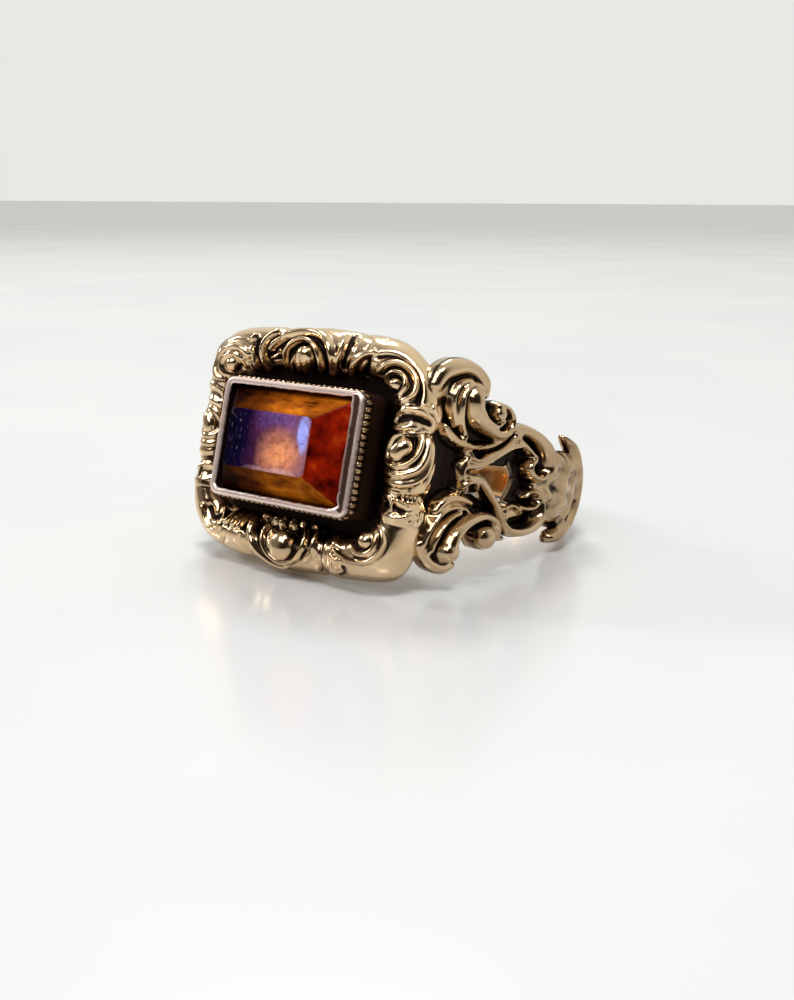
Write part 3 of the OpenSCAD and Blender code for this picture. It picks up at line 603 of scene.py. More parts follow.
# The right shoulder is a pierced plate: low webs that carry raised strokes and bosses, with grooves cut in.
# A place on it is u, which is Y on the plate's own surface, and z. A row of a web or stroke is u, z,
# half-width, lift; a row of a groove is u, z, half-width, depth; a boss is u, z, radius, lift. All in mm.
shoulder = {
    "step": 0.055, "uFrom": -12.4, "uTo": 3.9, "zFrom": -5.7, "zTo": 6.1,
    "back": -0.8, "thinBack": -0.3,  # back of the plate, and where it is thinner towards the hoop
    "edge": -0.12,  # height of a stroke at its edge
    "webSlack": 0.1,  # a web's height holds a little beyond its edge, where edge points are slid to
    "unevenness": 0.2,  # of the neck
    # painted brown shade on the strands and neck; the walls of the openings darken with patina and painted
    # shade
    "brownShade": 0.22, "backPatina": 0.15, "wallPatinaAndShade": 0.3,
    "blurs": ((7, 2.2), (3, 3.5)), "deepFrom": -0.25, "deepGain": 8,  # patina and painted shade, as for the border
}
shoulderStrokes = {
    # hood at the top, with its folded inner band
    "hood": [(-11.9, 4.3, 0.4, 0.25), (-11.56, 4.94, 0.5, 0.35), (-10.87, 5.38, 0.52, 0.42),
             (-10.02, 5.54, 0.46, 0.42), (-9.15, 5.37, 0.42, 0.4), (-8.58, 4.94, 0.38, 0.38),
             (-8.44, 4.37, 0.3, 0.3)],
    "hoodFoldOuter": [(-10.3, 2.4, 0.14, 0.35), (-10.75, 3.2, 0.18, 0.5), (-10.9, 3.85, 0.18, 0.58),
                      (-10.7, 4.45, 0.17, 0.58), (-10.3, 4.8, 0.15, 0.55), (-9.8, 4.95, 0.12, 0.5)],
    "hoodFoldInner": [(-9.5, 2.0, 0.14, 0.4), (-10.1, 2.65, 0.18, 0.62), (-10.4, 3.4, 0.19, 0.8),
                      (-10.4, 4.1, 0.18, 0.8), (-10.1, 4.6, 0.15, 0.75), (-9.6, 4.8, 0.12, 0.6)],
    # fat upper strand, rolled in at its end
    "upperStrand": [(-9.45, 4.5, 0.5, 0.85), (-9.6, 4.0, 0.68, 1.05), (-9.4, 3.4, 0.68, 1.05),
                    (-8.9, 2.95, 0.6, 1.0), (-8.1, 2.58, 0.46, 0.9), (-7.3, 2.4, 0.4, 0.82),
                    (-6.6, 2.6, 0.34, 0.76), (-6.3, 3.1, 0.28, 0.72), (-6.45, 3.6, 0.24, 0.7),
                    (-7.0, 3.95, 0.22, 0.7), (-7.75, 3.95, 0.2, 0.7)],
    "upperStrandRidge": [(-9.4, 3.55, 0.1, 0.95), (-8.95, 3.12, 0.13, 1.1), (-8.24, 2.88, 0.13, 1.1),
                         (-7.5, 2.88, 0.12, 1.0), (-7.0, 3.2, 0.1, 0.85)],
    # bands between the two strands, with their hooks
    "bandA": [(-10.9, 2.3, 0.2, 0.2), (-10.5, 1.9, 0.3, 0.26), (-9.8, 1.6, 0.3, 0.28),
              (-8.86, 1.54, 0.22, 0.3)],
    "bandB": [(-9.13, 1.46, 0.18, 0.35), (-7.99, 1.61, 0.24, 0.42), (-7.08, 1.95, 0.25, 0.42),
              (-6.27, 2.45, 0.22, 0.38), (-5.79, 2.96, 0.18, 0.3)],
    "bandC": [(-7.69, 1.22, 0.14, 0.26), (-6.68, 1.55, 0.22, 0.32), (-5.78, 2.12, 0.24, 0.32),
              (-5.3, 2.79, 0.2, 0.28)],
    "bandD": [(-8.89, 0.42, 0.22, 0.15), (-7.99, 0.58, 0.26, 0.26), (-7.21, 0.99, 0.28, 0.3),
              (-6.33, 1.5, 0.28, 0.3), (-5.48, 1.93, 0.28, 0.28), (-4.58, 2.1, 0.24, 0.24)],
    "hookA": [(-8.89, 1.2, 0.1, 0.35), (-8.65, 0.89, 0.13, 0.5), (-8.17, 0.86, 0.13, 0.5),
              (-7.67, 1.12, 0.12, 0.45), (-6.96, 1.55, 0.1, 0.35)],
    "bandE": [(-8.62, -0.17, 0.24, 0.2), (-7.75, -0.22, 0.3, 0.3), (-7.05, -0.65, 0.3, 0.32),
              (-6.41, -1.2, 0.3, 0.32), (-5.74, -1.75, 0.3, 0.3), (-5.33, -2.28, 0.26, 0.26)],
    "hookB": [(-9.02, -0.83, 0.1, 0.35), (-8.79, -0.48, 0.13, 0.5), (-8.18, -0.41, 0.13, 0.5),
              (-7.74, -0.85, 0.1, 0.35)],
    "frontBar": [(-8.9, 0.75, 0.2, 0.1), (-9.05, 0.1, 0.2, 0.12), (-8.95, -0.6, 0.2, 0.1)],
    # second scroll, with its ring-shaped end
    "secondScroll": [(-6.0, 2.95, 0.24, 0.3), (-4.9, 2.95, 0.36, 0.5), (-3.6, 2.7, 0.46, 0.62),
                     (-2.5, 2.15, 0.54, 0.68), (-1.95, 1.4, 0.5, 0.68), (-2.1, 0.8, 0.36, 0.66),
                     (-2.75, 0.47, 0.26, 0.62), (-3.5, 0.58, 0.27, 0.52), (-3.8, 1.0, 0.26, 0.46),
                     (-3.4, 1.42, 0.2, 0.46)],
    "scrollInner": [(-5.2, 2.35, 0.16, 0.3), (-4.4, 2.05, 0.2, 0.4), (-3.7, 1.75, 0.18, 0.4),
                    (-3.1, 1.6, 0.14, 0.36)],
    "hookLoop": [(-3.9, -1.3, 0.12, 0.35), (-3.3, -1.35, 0.16, 0.5), (-2.6, -1.15, 0.17, 0.52),
                 (-2.3, -0.75, 0.16, 0.5), (-2.6, -0.4, 0.15, 0.48), (-3.2, -0.4, 0.13, 0.42),
                 (-3.5, -0.75, 0.11, 0.36)],
    "scrollTail": [(-5.15, 2.82, 0.24, 0.3), (-4.69, 2.3, 0.3, 0.3), (-4.1, 1.95, 0.24, 0.26),
                   (-3.65, 1.75, 0.14, 0.2)],
    # lower ridges, strand, leaf, lip and tip
    "lowerRidgeA": [(-11.08, -4.02, 0.12, 0.3), (-11.03, -3.32, 0.15, 0.48), (-10.69, -2.6, 0.16, 0.55),
                    (-10.15, -2.08, 0.16, 0.55), (-9.39, -1.84, 0.15, 0.5), (-8.45, -1.91, 0.12, 0.4)],
    "lowerRidgeB": [(-10.63, -4.33, 0.12, 0.5), (-10.58, -3.59, 0.15, 0.7), (-10.3, -2.92, 0.16, 0.75),
                    (-9.76, -2.4, 0.15, 0.7), (-9.01, -2.1, 0.12, 0.6)],
    "lowerStrand": [(-9.7, -4.25, 0.5, 0.85), (-9.73, -3.9, 0.55, 1.05), (-9.56, -3.35, 0.52, 1.05),
                    (-9.09, -2.82, 0.44, 1.0), (-8.36, -2.36, 0.38, 0.95), (-7.47, -2.1, 0.34, 0.9),
                    (-6.6, -2.25, 0.3, 0.85), (-6.1, -2.72, 0.25, 0.75), (-5.99, -3.22, 0.2, 0.6)],
    "lowerLeaf": [(-10.75, -2.2, 0.2, 0.3), (-10.4, -1.72, 0.34, 0.42), (-9.8, -1.38, 0.36, 0.42),
                  (-9.02, -1.38, 0.32, 0.38), (-8.21, -1.5, 0.2, 0.3)],
    "lowerLip": [(-11.15, -4.1, 0.3, 0.05), (-10.75, -4.6, 0.34, 0.15), (-10.21, -5.0, 0.34, 0.2),
                 (-9.44, -5.17, 0.32, 0.22), (-8.74, -4.95, 0.2, 0.2)],
    "strandTip": [(-6.2, -2.95, 0.24, 0.3), (-5.5, -3.2, 0.2, 0.25), (-4.9, -3.22, 0.12, 0.12)],
    "lowScroll": [(-5.44, -2.26, 0.24, 0.35), (-4.77, -2.72, 0.32, 0.5), (-3.63, -2.7, 0.34, 0.58),
                  (-2.51, -2.33, 0.32, 0.58), (-1.85, -1.7, 0.26, 0.5), (-1.74, -0.99, 0.2, 0.38)],
    "lowScrollHook": [(-5.49, -2.04, 0.12, 0.4), (-5.52, -1.59, 0.16, 0.5), (-5.14, -1.33, 0.16, 0.5),
                      (-4.49, -1.33, 0.14, 0.42), (-3.85, -1.56, 0.1, 0.3)],
    # rails of the neck, and the crescent that ends it
    "neckRailA": [(-2.0, 2.2, 0.12, 0.15), (-1.1, 2.0, 0.2, 0.28), (-0.1, 1.6, 0.22, 0.32),
                  (0.8, 0.9, 0.2, 0.3), (1.5, 0.1, 0.14, 0.2)],
    "neckFold": [(-2.2, 0.2, 0.2, 0.1), (-1.5, -0.5, 0.26, 0.26), (-0.6, -0.7, 0.24, 0.2)],
    "neckRailB": [(-1.9, -1.2, 0.16, 0.15), (-1.0, -1.5, 0.24, 0.3), (0.0, -1.5, 0.26, 0.32),
                  (0.9, -1.2, 0.2, 0.24), (1.6, -0.6, 0.14, 0.2)],
    "crescent": [(-0.5, 3.1, 0.12, 0.3), (-0.1, 2.9, 0.26, 0.5), (0.5, 2.6, 0.38, 0.58),
                 (1.2, 2.05, 0.46, 0.6), (2.2, 1.2, 0.5, 0.58), (2.9, 0.3, 0.52, 0.54),
                 (2.8, -0.5, 0.52, 0.54), (2.0, -1.4, 0.5, 0.58), (0.9, -2.3, 0.5, 0.62),
                 (0.1, -2.72, 0.46, 0.6), (-0.5, -2.86, 0.36, 0.5)],
}
shoulderWebs = {
    # the grounds lie deep, so patina and painted shade make them dark
    "frontGround": [(-10.9, 2.6, 1.0, -0.55), (-10.9, 0.0, 1.3, -0.6), (-10.9, -2.6, 1.0, -0.55)],
    "frontGroundInner": [(-9.6, 1.2, 0.5, -0.5), (-9.4, 0.2, 0.75, -0.55), (-9.5, -1.2, 0.5, -0.5)],
    "hood": [(-11.8, 3.9, 0.35, 0.0), (-11.2, 4.6, 0.75, 0.05), (-10.2, 4.8, 0.85, 0.05),
             (-9.2, 4.75, 0.6, 0.05), (-8.6, 4.4, 0.3, 0.0)],
    "hoodSide": [(-11.4, 3.8, 0.5, -0.45), (-11.1, 2.9, 0.55, -0.45), (-10.4, 2.1, 0.5, -0.3),
                 (-9.6, 1.7, 0.4, -0.1), (-8.9, 1.4, 0.35, -0.1)],
    "upperStrand": [(-9.9, 3.6, 0.9, -0.05), (-8.9, 2.7, 0.75, -0.05), (-7.9, 2.3, 0.7, -0.05),
                    (-6.9, 2.5, 0.62, -0.05), (-6.2, 2.6, 0.5, -0.05)],
    "strandEnd": [(-7.45, 3.45, 0.75, -0.1), (-7.0, 3.3, 0.7, -0.1)],
    "bandsUpper": [(-8.9, 1.3, 0.3, -0.1), (-7.9, 1.35, 0.4, -0.1), (-6.9, 1.8, 0.55, -0.1),
                   (-5.9, 2.4, 0.6, -0.1), (-5.0, 2.6, 0.5, -0.1), (-4.2, 2.3, 0.5, -0.1)],
    "bandsLower": [(-8.9, 0.3, 0.45, -0.15), (-8.7, -0.4, 0.4, -0.15), (-8.9, -1.3, 0.35, -0.1)],
    "lowerRidges": [(-10.9, -3.9, 0.4, 0.0), (-10.6, -2.9, 0.5, 0.0), (-9.9, -2.1, 0.6, 0.0),
                    (-9.0, -1.8, 0.5, 0.0), (-8.2, -1.9, 0.4, 0.0)],
    "lowerStrand": [(-10.4, -4.5, 0.65, 0.0), (-9.5, -4.2, 1.0, 0.0), (-9.2, -3.0, 0.8, 0.0),
                    (-8.0, -2.5, 0.6, 0.0), (-7.0, -2.5, 0.6, 0.0), (-6.2, -2.8, 0.4, 0.0)],
    "lowScroll": [(-5.8, -1.9, 0.5, -0.1), (-4.9, -2.0, 0.7, -0.1), (-3.8, -2.1, 0.75, -0.1),
                  (-2.8, -1.8, 0.7, -0.1), (-2.0, -1.2, 0.5, -0.1)],
    "secondScroll": [(-3.9, 2.3, 0.5, -0.1), (-3.0, 1.7, 0.7, -0.1), (-2.4, 1.3, 0.6, -0.1)],
    "neck": [(-1.6, 0.1, 0.75, -0.02), (-1.1, 0.05, 1.9, 0.1), (-0.2, 0.0, 2.3, 0.2), (1.4, 0.0, 1.8, 0.3),
             (3.0, 0.0, 1.2, 0.2)],
    # ground deep between the strands, dark with patina and painted shade
    "groundMiddle": [(-4.6, 1.5, 0.6, -0.5), (-3.5, 0.7, 0.95, -0.6), (-3.25, -0.2, 1.1, -0.62),
                     (-4.0, -1.2, 0.8, -0.55)],
    "groundLower": [(-7.8, -1.5, 0.5, -0.5), (-6.8, -1.9, 0.6, -0.55), (-5.7, -1.8, 0.7, -0.55)],
    "groundUpper": [(-5.5, 1.2, 0.45, -0.45), (-6.6, 1.15, 0.45, -0.45), (-7.5, 0.95, 0.34, -0.45)],
}
shoulderGrooves = {
    "scrollChannel": [(-4.9, 2.55, 0.08, 0.3), (-4.3, 2.38, 0.1, 0.4), (-3.5, 2.08, 0.1, 0.45),
                      (-2.9, 1.65, 0.09, 0.35)],
    "voluteHole": [(-3.05, 0.98, 0.2, 0.6), (-2.8, 0.98, 0.2, 0.6)],
    "hookHole": [(-3.0, -0.8, 0.14, 0.4), (-2.8, -0.8, 0.14, 0.4)],
    "lowScrollChannel": [(-4.5, -2.2, 0.1, 0.3), (-4.11, -2.2, 0.15, 0.5), (-3.28, -2.0, 0.17, 0.55),
                         (-2.61, -1.5, 0.15, 0.5), (-2.21, -1.04, 0.1, 0.3)],
    "bandSeam": [(-8.3, 1.15, 0.07, 0.2), (-7.3, 1.5, 0.08, 0.3), (-6.3, 2.0, 0.08, 0.3),
                 (-5.6, 2.6, 0.07, 0.2)],
    # slots in the lower half of the crescent
    "crescentSlotA": [(-1.7, -2.2, 0.16, 0.4), (-0.9, -2.3, 0.22, 0.6), (0.1, -2.1, 0.16, 0.4)],
    "crescentSlotB": [(2.3, -0.5, 0.1, 0.3), (1.9, -1.1, 0.17, 0.5), (1.2, -1.8, 0.14, 0.4)],
}
shoulderBosses = {
    "strandBall": (-7.47, 3.5, 0.46, 0.8), "bandBead": (-8.36, 1.55, 0.2, 0.5),
    "frontBead": (-9.55, 1.9, 0.14, 0.45), "lowerBall": (-6.9, -3.23, 0.72, 0.85),
    "neckBumpA": (-1.1, 0.7, 0.45, 0.3), "neckBumpB": (0.5, -0.3, 0.5, 0.36),
    "hookBead": (-5.5, -1.75, 0.16, 0.5), "lowerFront": (-9.75, -4.2, 0.6, 1.1),
}


def shoulderX(u):
    # the hoop's outside behind the finger's middle, and a slightly drawn-in flank before it
    front = ring["hoopR"] - ring["bendIn"] * np.clip(-u / ring["bendY"], 0, None) ** 1.6
    back = np.sqrt(np.clip(ring["hoopR"] ** 2 - u * u, 0, None))
    return np.where(u < 0, front, back)


def onShoulder(u, z, lift):
    # a place on the right shoulder, raised along the surface's own normal
    e = 0.01
    slope = (shoulderX(u + e) - shoulderX(u - e)) / (2 * e)
    length = np.sqrt(1 + slope ** 2)
    return np.stack([shoulderX(u) + lift / length, u - lift * slope / length, z], -1).reshape(-1, 3)


def pathField(u, z, rows):
    # for each place near the path: distance to it, its half-width there and its lift there
    path = smoothPath(rows, max(12, 6 * len(rows)))
    near, t, gaps = gapsToPath(u, z, path, path[:, 2].max() * 1.3 + 0.3)
    wide = path[:-1, 2] + t * np.diff(path[:, 2])
    best = (gaps - wide).argmin(1)
    pick = np.arange(len(best))
    lift = path[best, 3] + t[pick, best] * np.diff(path[:, 3])[best]
    return near, gaps[pick, best], np.maximum(wide[pick, best], 0.03), lift


def neckWave(u, z):
    # slow unevenness of the worn neck, between -1 and 1
    return np.sin(2.3 * u + 1.7 * z + 0.8 * np.sin(3.1 * z)) * np.sin(2.9 * z - 1.1 * u + 0.6)


def shoulderField(u, z):
    # cover is positive inside the plate; height is the lift of its upper skin
    s, bare = shoulder, -9.0
    cover, height = np.full(u.shape, bare), np.full(u.shape, bare)
    for rows in shoulderWebs.values():
        near, gap, wide, lift = pathField(u, z, rows)
        cover[near] = np.maximum(cover[near], wide - gap)
        top = lift - 0.12 * np.minimum(gap / wide, 1) ** 4
        height[near] = np.maximum(height[near], np.where(gap < wide + s["webSlack"], top, bare))
    for rows in shoulderStrokes.values():
        near, gap, wide, lift = pathField(u, z, rows)
        cover[near] = np.maximum(cover[near], wide - gap)
        q = np.clip(gap / wide, 0, 1)
        top = s["edge"] + (lift - s["edge"]) * (1 - q ** 2.2) ** 0.6
        height[near] = np.maximum(height[near], np.where(gap < wide, top, bare))
    for bossU, bossZ, radius, lift in shoulderBosses.values():
        q = np.hypot(u - bossU, z - bossZ) / radius
        cover = np.maximum(cover, radius * (1 - q))
        top = lift - 0.8 * radius * (1 - np.sqrt(np.clip(1 - q ** 2, 0, 1)))
        height = np.maximum(height, np.where(q < 1, top, bare))
    height = np.where(height < -5, s["edge"], height)
    for rows in shoulderGrooves.values():
        near, gap, wide, lift = pathField(u, z, rows)
        height[near] -= lift * np.exp(-(gap / wide) ** 2)
    # the neck is uneven, as cast and worn
    onNeck = np.clip((u + 2.2) / 0.8, 0, 1) * np.clip((1.9 - u) / 0.8, 0, 1)
    onNeck *= np.clip(2.1 - np.abs(z), 0, 1)
    height += s["unevenness"] * onNeck * neckWave(u, z)
    return cover, height


def makeShoulder():
    # grid of u x z; the cells inside the plate are kept, its border points slide onto the plate's own edge
    s = shoulder
    us, zs = np.arange(s["uFrom"], s["uTo"], s["step"]), np.arange(s["zFrom"], s["zTo"], s["step"])
    u, z = np.meshgrid(us, zs, indexing="ij")
    cover, _ = shoulderField(u, z)
    cell = 0.25 * (cover[:-1, :-1] + cover[1:, :-1] + cover[:-1, 1:] + cover[1:, 1:]) > 0
    keep = np.pad(cell, 1)
    around = np.stack([keep[:-1, :-1], keep[1:, :-1], keep[:-1, 1:], keep[1:, 1:]])
    onEdge = around.any(0) & ~around.all(0)
    gradU, gradZ = np.gradient(cover, s["step"])
    most = 0.7 * s["step"]
    pull = np.where(onEdge, np.clip(cover / np.maximum(gradU ** 2 + gradZ ** 2, 0.25), -most, most), 0)
    u, z = u - pull * gradU, z - pull * gradZ
    _, height = shoulderField(u, z)
    lowered = np.minimum(height, np.maximum(s["edge"], height - 0.1))
    height = np.where(onEdge, lowered, blurred(height, 1, False))
    # painted shade: browner along the strands, and most on the neck
    brownShade = s["brownShade"] * np.clip((u + 10.5) / 2, 0, 1)
    brownShade += np.clip((u + 3) / 1.5, 0, 1) * (s["brownShade"] - 0.2 * neckWave(u, z))
    back = s["back"] + (s["thinBack"] - s["back"]) * np.clip((u + 2.4) / 1.4, 0, 1)
    layers = [onShoulder(u, z, lift) for lift in (height, 0.5 * (back + s["edge"]), back)]
    n, size = u.shape[1], u.size
    i, k = np.nonzero(cell)
    skin = np.stack([i * n + k, (i + 1) * n + k, (i + 1) * n + k + 1, i * n + k + 1], -1)
    # walls: each side of a kept cell whose neighbour isn't kept
    walls = []
    for di, dk, a, b in ((0, -1, 0, 1), (1, 0, 1, 2), (0, 1, 2, 3), (-1, 0, 3, 0)):
        bare = ~keep[i + 1 + di, k + 1 + dk]
        walls.append(skin[bare][:, [a, b]])
    start, end = np.concatenate(walls).T
    sides = [np.stack([end, start, start + size, end + size], -1) + layer * size for layer in (0, 1)]
    faces = np.concatenate([skin, skin[:, ::-1] + 2 * size] + sides)
    # patina and painted shade: the top skin dark in its hollows and deep places, the walls a little dark
    recess = np.concatenate([patinaAndShadeOf(height, s, False).ravel(), np.full(size, s["wallPatinaAndShade"]),
                             np.full(size, s["backPatina"])])
    used, renumbered = np.unique(faces, return_inverse=True)
    tones = {"recess": recess[used], "brownShade": np.tile(brownShade.ravel(), 3)[used]}
    return np.concatenate(layers)[used], renumbered.reshape(faces.shape), tones


shoulderPoints, shoulderFaces, shoulderTones = makeShoulder()
for name, side in (("shoulderRight", 1), ("shoulderLeft", -1)):
    faces = shoulderFaces if side > 0 else shoulderFaces[:, ::-1]
    piece = addPiece(name, [(shoulderPoints * [side, 1, 1], faces)], hoopGold, shoulderTones)
    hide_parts("ring_mount")

collet = {
    "halfW": 4.87, "halfH": 3.35, "corner": 0.55, "thick": 0.42, "footY": 11.8, "rimY": 14.2,
    "rimW": 0.6, "rimH": 0.4,  # width of the rim at the sides, and above and below
    "openingX": -0.14,  # the opening sits off the middle, so the rim is thin at the left
    # nicks of the opening: direction in degrees, half-width in degrees, depth in mm
    "nicks": [(36, 2.0, 0.14), (31, 1.2, -0.08), (-31, 1.6, 0.16), (-36.5, 1.2, -0.08), (-24, 1.0, 0.06),
              (12, 1.0, 0.05)],
    "rightDarkening": ((8, 0.92), (9, 0.9), (10, 0.3), (11, 0.0)),  # row of the section, darkening at the right
    "burnish": 0.012,  # depth of the lines that the burnisher left
    "tones": ((0.80, 0.60, 0.53), (0.96, 0.79, 0.70)), "patinaShadeTone": (0.06, 0.028, 0.016),
    "roughness": (0.24, 0.5), "patinaShadeRange": (0.3, 0.8), "bump": 0.00007, "metallic": 0.7,
}
roseGold = goldMaterial("roseGold", collet)


def outFromAxis(points):
    # directions away from the stone's own axis
    out = points * [1, 0, 1]
    return out / np.maximum(np.linalg.norm(out, axis=-1, keepdims=True), 1e-6)


def wavering(points, amount, seed):
    # a slow uneven wave along a ring of points, as a rim rubbed over by hand has
    k = np.arange(points.shape[0]) / points.shape[0] * 2 * np.pi
    rng = np.random.default_rng(seed)
    wave = sum(rng.normal() * np.sin(f * k + rng.uniform(0, 6.28)) for f in (5, 9, 14, 23, 37)) * amount / 2
    return points + outFromAxis(points - points.mean(0)) * wave[:, None]


def makeCollet():
    c = collet
    w, h, corner, foot, rim = (c[key] for key in ("halfW", "halfH", "corner", "footY", "rimY"))
    openW, openH, innerW, innerH = w - c["rimW"], h - c["rimH"], w - c["thick"], h - c["thick"]
    # section from the foot up outside, over the rim and down inside:
    # half-width, half-height, corner, height, wave, patina and painted shade, share of the burnish lines
    rows = [
        (w, h, corner, foot, 0.0, 1.0, 0.0),
        (w, h, corner, foot + 0.6, 0.004, 1.0, 1.0),
        (w, h, corner, foot + 1.2, 0.006, 0.9, 1.0),
        (w, h, corner, rim - 0.65, 0.008, 0.85, 1.0),
        (w, h, corner, rim - 0.4, 0.01, 0.8, 1.0),
        (w - 0.01, h - 0.01, corner, rim - 0.2, 0.012, 0.68, 0.5),
        (w - 0.05, h - 0.04, corner, rim - 0.1, 0.014, 0.45, 0.4),
        (w - 0.14, h - 0.09, corner - 0.05, rim - 0.04, 0.016, 0.0, 0.3),
        (w - 0.22, h - 0.13, corner - 0.07, rim - 0.02, 0.018, 0.0, 0.3),
        (w - 0.35, h - 0.2, corner - 0.1, rim, 0.022, 0.0, 0.3),
        (openW + 0.05, openH + 0.03, corner - 0.2, rim - 0.01, 0.034, 0.0, 0.5),
        (openW, openH, corner - 0.22, rim - 0.08, 0.036, 0.5, 0.6),
        (openW + 0.05, openH + 0.04, corner - 0.25, rim - 0.25, 0.02, 0.9, 0.3),
        (innerW, innerH, corner - 0.3, rim - 0.7, 0.0, 1.0, 0.0),
        (innerW, innerH, corner - 0.3, foot + 0.4, 0.0, 1.0, 0.0),
    ]
    rings = [wavering(denseOblong(*row[:4]), row[4], 7) for row in rows]
    rings[8][:, 0] += 0.5 * c["openingX"]
    for inner in rings[9:13]:
        turn = np.degrees(np.arctan2(inner[:, 2], inner[:, 0]))
        nick = sum(deep * np.exp(-((turn - at) / wide) ** 2) for at, wide, deep in c["nicks"])
        inner *= 1 + (nick / np.hypot(inner[:, 0], inner[:, 2]))[:, None] * [1, 0, 1]
        inner[:, 0] += c["openingX"]
    grid, faces = lofted(rings)
    # burnish lines: each column of the wall a little in or out
    lines = np.random.default_rng(3).normal(0, c["burnish"], grid.shape[1])
    shade, weight = np.array(rows)[:, 5:].T[..., None]
    grid = grid + outFromAxis(grid) * (lines[None, :] * weight)[..., None]
    recess = np.clip(shade + np.abs(lines)[None, :] * 12 * weight, 0, 1)
    # darker brown along the middle of the wide right rim, with a bright lip inside it
    right = grid[9, :, 0] > w - c["rimW"]
    for row, tone in c["rightDarkening"]:
        recess[row] = np.where(right, tone, recess[row])
    return grid, faces, recess


colletGrid, colletFaces, colletRecess = makeCollet()
colletParts = [(colletGrid, colletFaces)]
colletPiece = addPiece("colletWall", colletParts, roseGold, {"recess": colletRecess})
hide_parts("collet")

# A milled wire round the collet; "tall" is its half-height, "neck" the share of its radius between beads.
edging = {
    "offset": -0.02, "corner": 0.7, "radius": 0.13, "neck": 0.55, "tall": 0.36, "y": 13.52,
    "beads": 88, "around": 1056, "across": 12,
}


def makeEdging():
    # the wire's radius swells into beads
    e = edging
    halfW, halfH = collet["halfW"] + e["offset"], collet["halfH"] + e["offset"]
    path = denseOblong(halfW, halfH, e["corner"], e["y"], e["around"])
    k = np.arange(e["around"]) / e["around"]
    swell = e["radius"] * (e["neck"] + 0.45 * np.abs(np.sin(np.pi * e["beads"] * k)) ** 0.7)
    tangent = np.roll(path, -1, 0) - np.roll(path, 1, 0)
    tangent /= np.linalg.norm(tangent, axis=1, keepdims=True)
    up = np.array([0, -1.0, 0])
    out = np.cross(tangent, up)
    t = np.linspace(0, 2 * np.pi, e["across"], endpoint=False)[None, :, None]
    turn = np.cos(t) * out[:, None, :] + e["tall"] / e["radius"] * np.sin(t) * up
    grid = path[:, None, :] + swell[:, None, None] * turn
    # painted shade: the wire dark, darkest between the beads and least on their tops
    recess = 0.95 - 0.5 * np.clip((swell / e["radius"] - e["neck"]) / 0.4, 0, 1)
    return grid, gridQuads(grid, True), np.repeat(recess, e["across"])


edgingGrid, edgingQuads, edgingRecess = makeEdging()
edgingParts = [(edgingGrid, edgingQuads)]
edgingPiece = addPiece("milledEdging", edgingParts, yellowGold, {"recess": edgingRecess})
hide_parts("ring_mount")

stone = {
    "girdleW": 4.38, "girdleH": 3.0, "girdleCorner": 0.3, "girdleY": 13.6,  # half-width, half-height
    "tableW": 2.88, "tableH": 1.65, "tableCorner": 0.4, "tableY": 15.3, "tableShift": -0.22,
    "culet": (2.1, 0.9, 0.25, 12.25),  # half-width, half-height, corner, height
    # painted reflection of the foil in the table, from left to right: navy, plum, peach, mauve
    "tableTones": [(0.0, (0.003, 0.002, 0.01)), (0.2, (0.006, 0.003, 0.025)), (0.45, (0.11, 0.025, 0.07)),
                   (0.7, (0.36, 0.12, 0.10)), (0.88, (0.26, 0.11, 0.16))],
    # painted reflections and glow on it, as soft patches: middle x and z, reach in x and z, how they fade
    # in, tone
    "patches": {
        "violet": ((0.7, 1.4), (2.3, 1.0), [(0.0, 0.0), (0.7, 0.75)], (0.12, 0.06, 0.27)),
        "glow": ((0.8, -0.6), (1.95, 1.6), [(0.0, 0.0), (0.5, 0.4), (0.95, 1.0)], (1.0, 0.38, 0.16)),
        "reflectedStrip": ((2.25, 0.7), (0.36, 1.35), [(0.0, 0.0), (0.45, 1.0)], (0.38, 0.41, 0.98)),
        "edgeLight": ((0.6, -1.6), (2.6, 0.28), [(0.0, 0.0), (0.8, 0.6)], (0.75, 0.45, 0.45)),
    },
    "specks": [(0.32, (0.5, 0.42, 0.45)), (0.5, (0.92, 0.9, 0.9)), (0.68, (1.3, 1.27, 1.25))],
    "scratchTone": (0.75, 0.6, 0.75), "scratches": [(0.60, 0.0), (0.68, 0.25)],
    # crown: amber above and below; painted shade makes it deep red at the right and dark at the left
    "amber": [(0.3, (0.05, 0.009, 0.001)), (0.5, (0.30, 0.072, 0.004)), (0.7, (0.56, 0.165, 0.008))],
    "crownShadeToLeft": [(0.0, (0.05, 0.03, 0.03)), (0.3, (0.35, 0.3, 0.25)), (0.5, (1.0, 1.0, 1.0))],
    "shadedRed": [(0.35, (0.035, 0.001, 0.0005)), (0.6, (0.30, 0.012, 0.002)), (0.75, (0.45, 0.05, 0.004))],
    "leftDark": (0.012, 0.006, 0.006),
    "gloss": {"Roughness": 0.4, "IOR": 1.54, "Specular IOR Level": 0.0,
              "Coat Weight": 0.03, "Coat Roughness": 0.06},
}


def makeStone():
    # table cut: culet, pavilion, girdle, sloping crown with worn edges, and a table with round corners
    s = stone
    girdle = [s["girdleW"], s["girdleH"], s["girdleCorner"]]
    slope = [s["tableW"] - s["girdleW"], s["tableH"] - s["girdleH"], s["tableCorner"] - s["girdleCorner"]]
    rows = [s["culet"], (*girdle, s["girdleY"] - 0.12), (*girdle, s["girdleY"])]
    for share in (0.08, 0.3, 0.6, 0.88):
        y = s["girdleY"] + (s["tableY"] - 0.08 - s["girdleY"]) * (share ** 0.93)
        rows.append((*(start + change * share for start, change in zip(girdle, slope)), y))
    for inset, drop in ((0, 0.07), (0.06, 0.015), (0.14, 0)):
        rows.append((s["tableW"] - inset, s["tableH"] - inset, s["tableCorner"], s["tableY"] - drop))
    rings = np.stack([denseOblong(*row, 96) for row in rows])
    # the table sits a little to the left: the crown leans with it
    rise = np.clip((-rings[..., 1] - s["girdleY"]) / (s["tableY"] - s["girdleY"]), 0, 1)
    rings[..., 0] += s["tableShift"] * rise
    return lofted(rings)


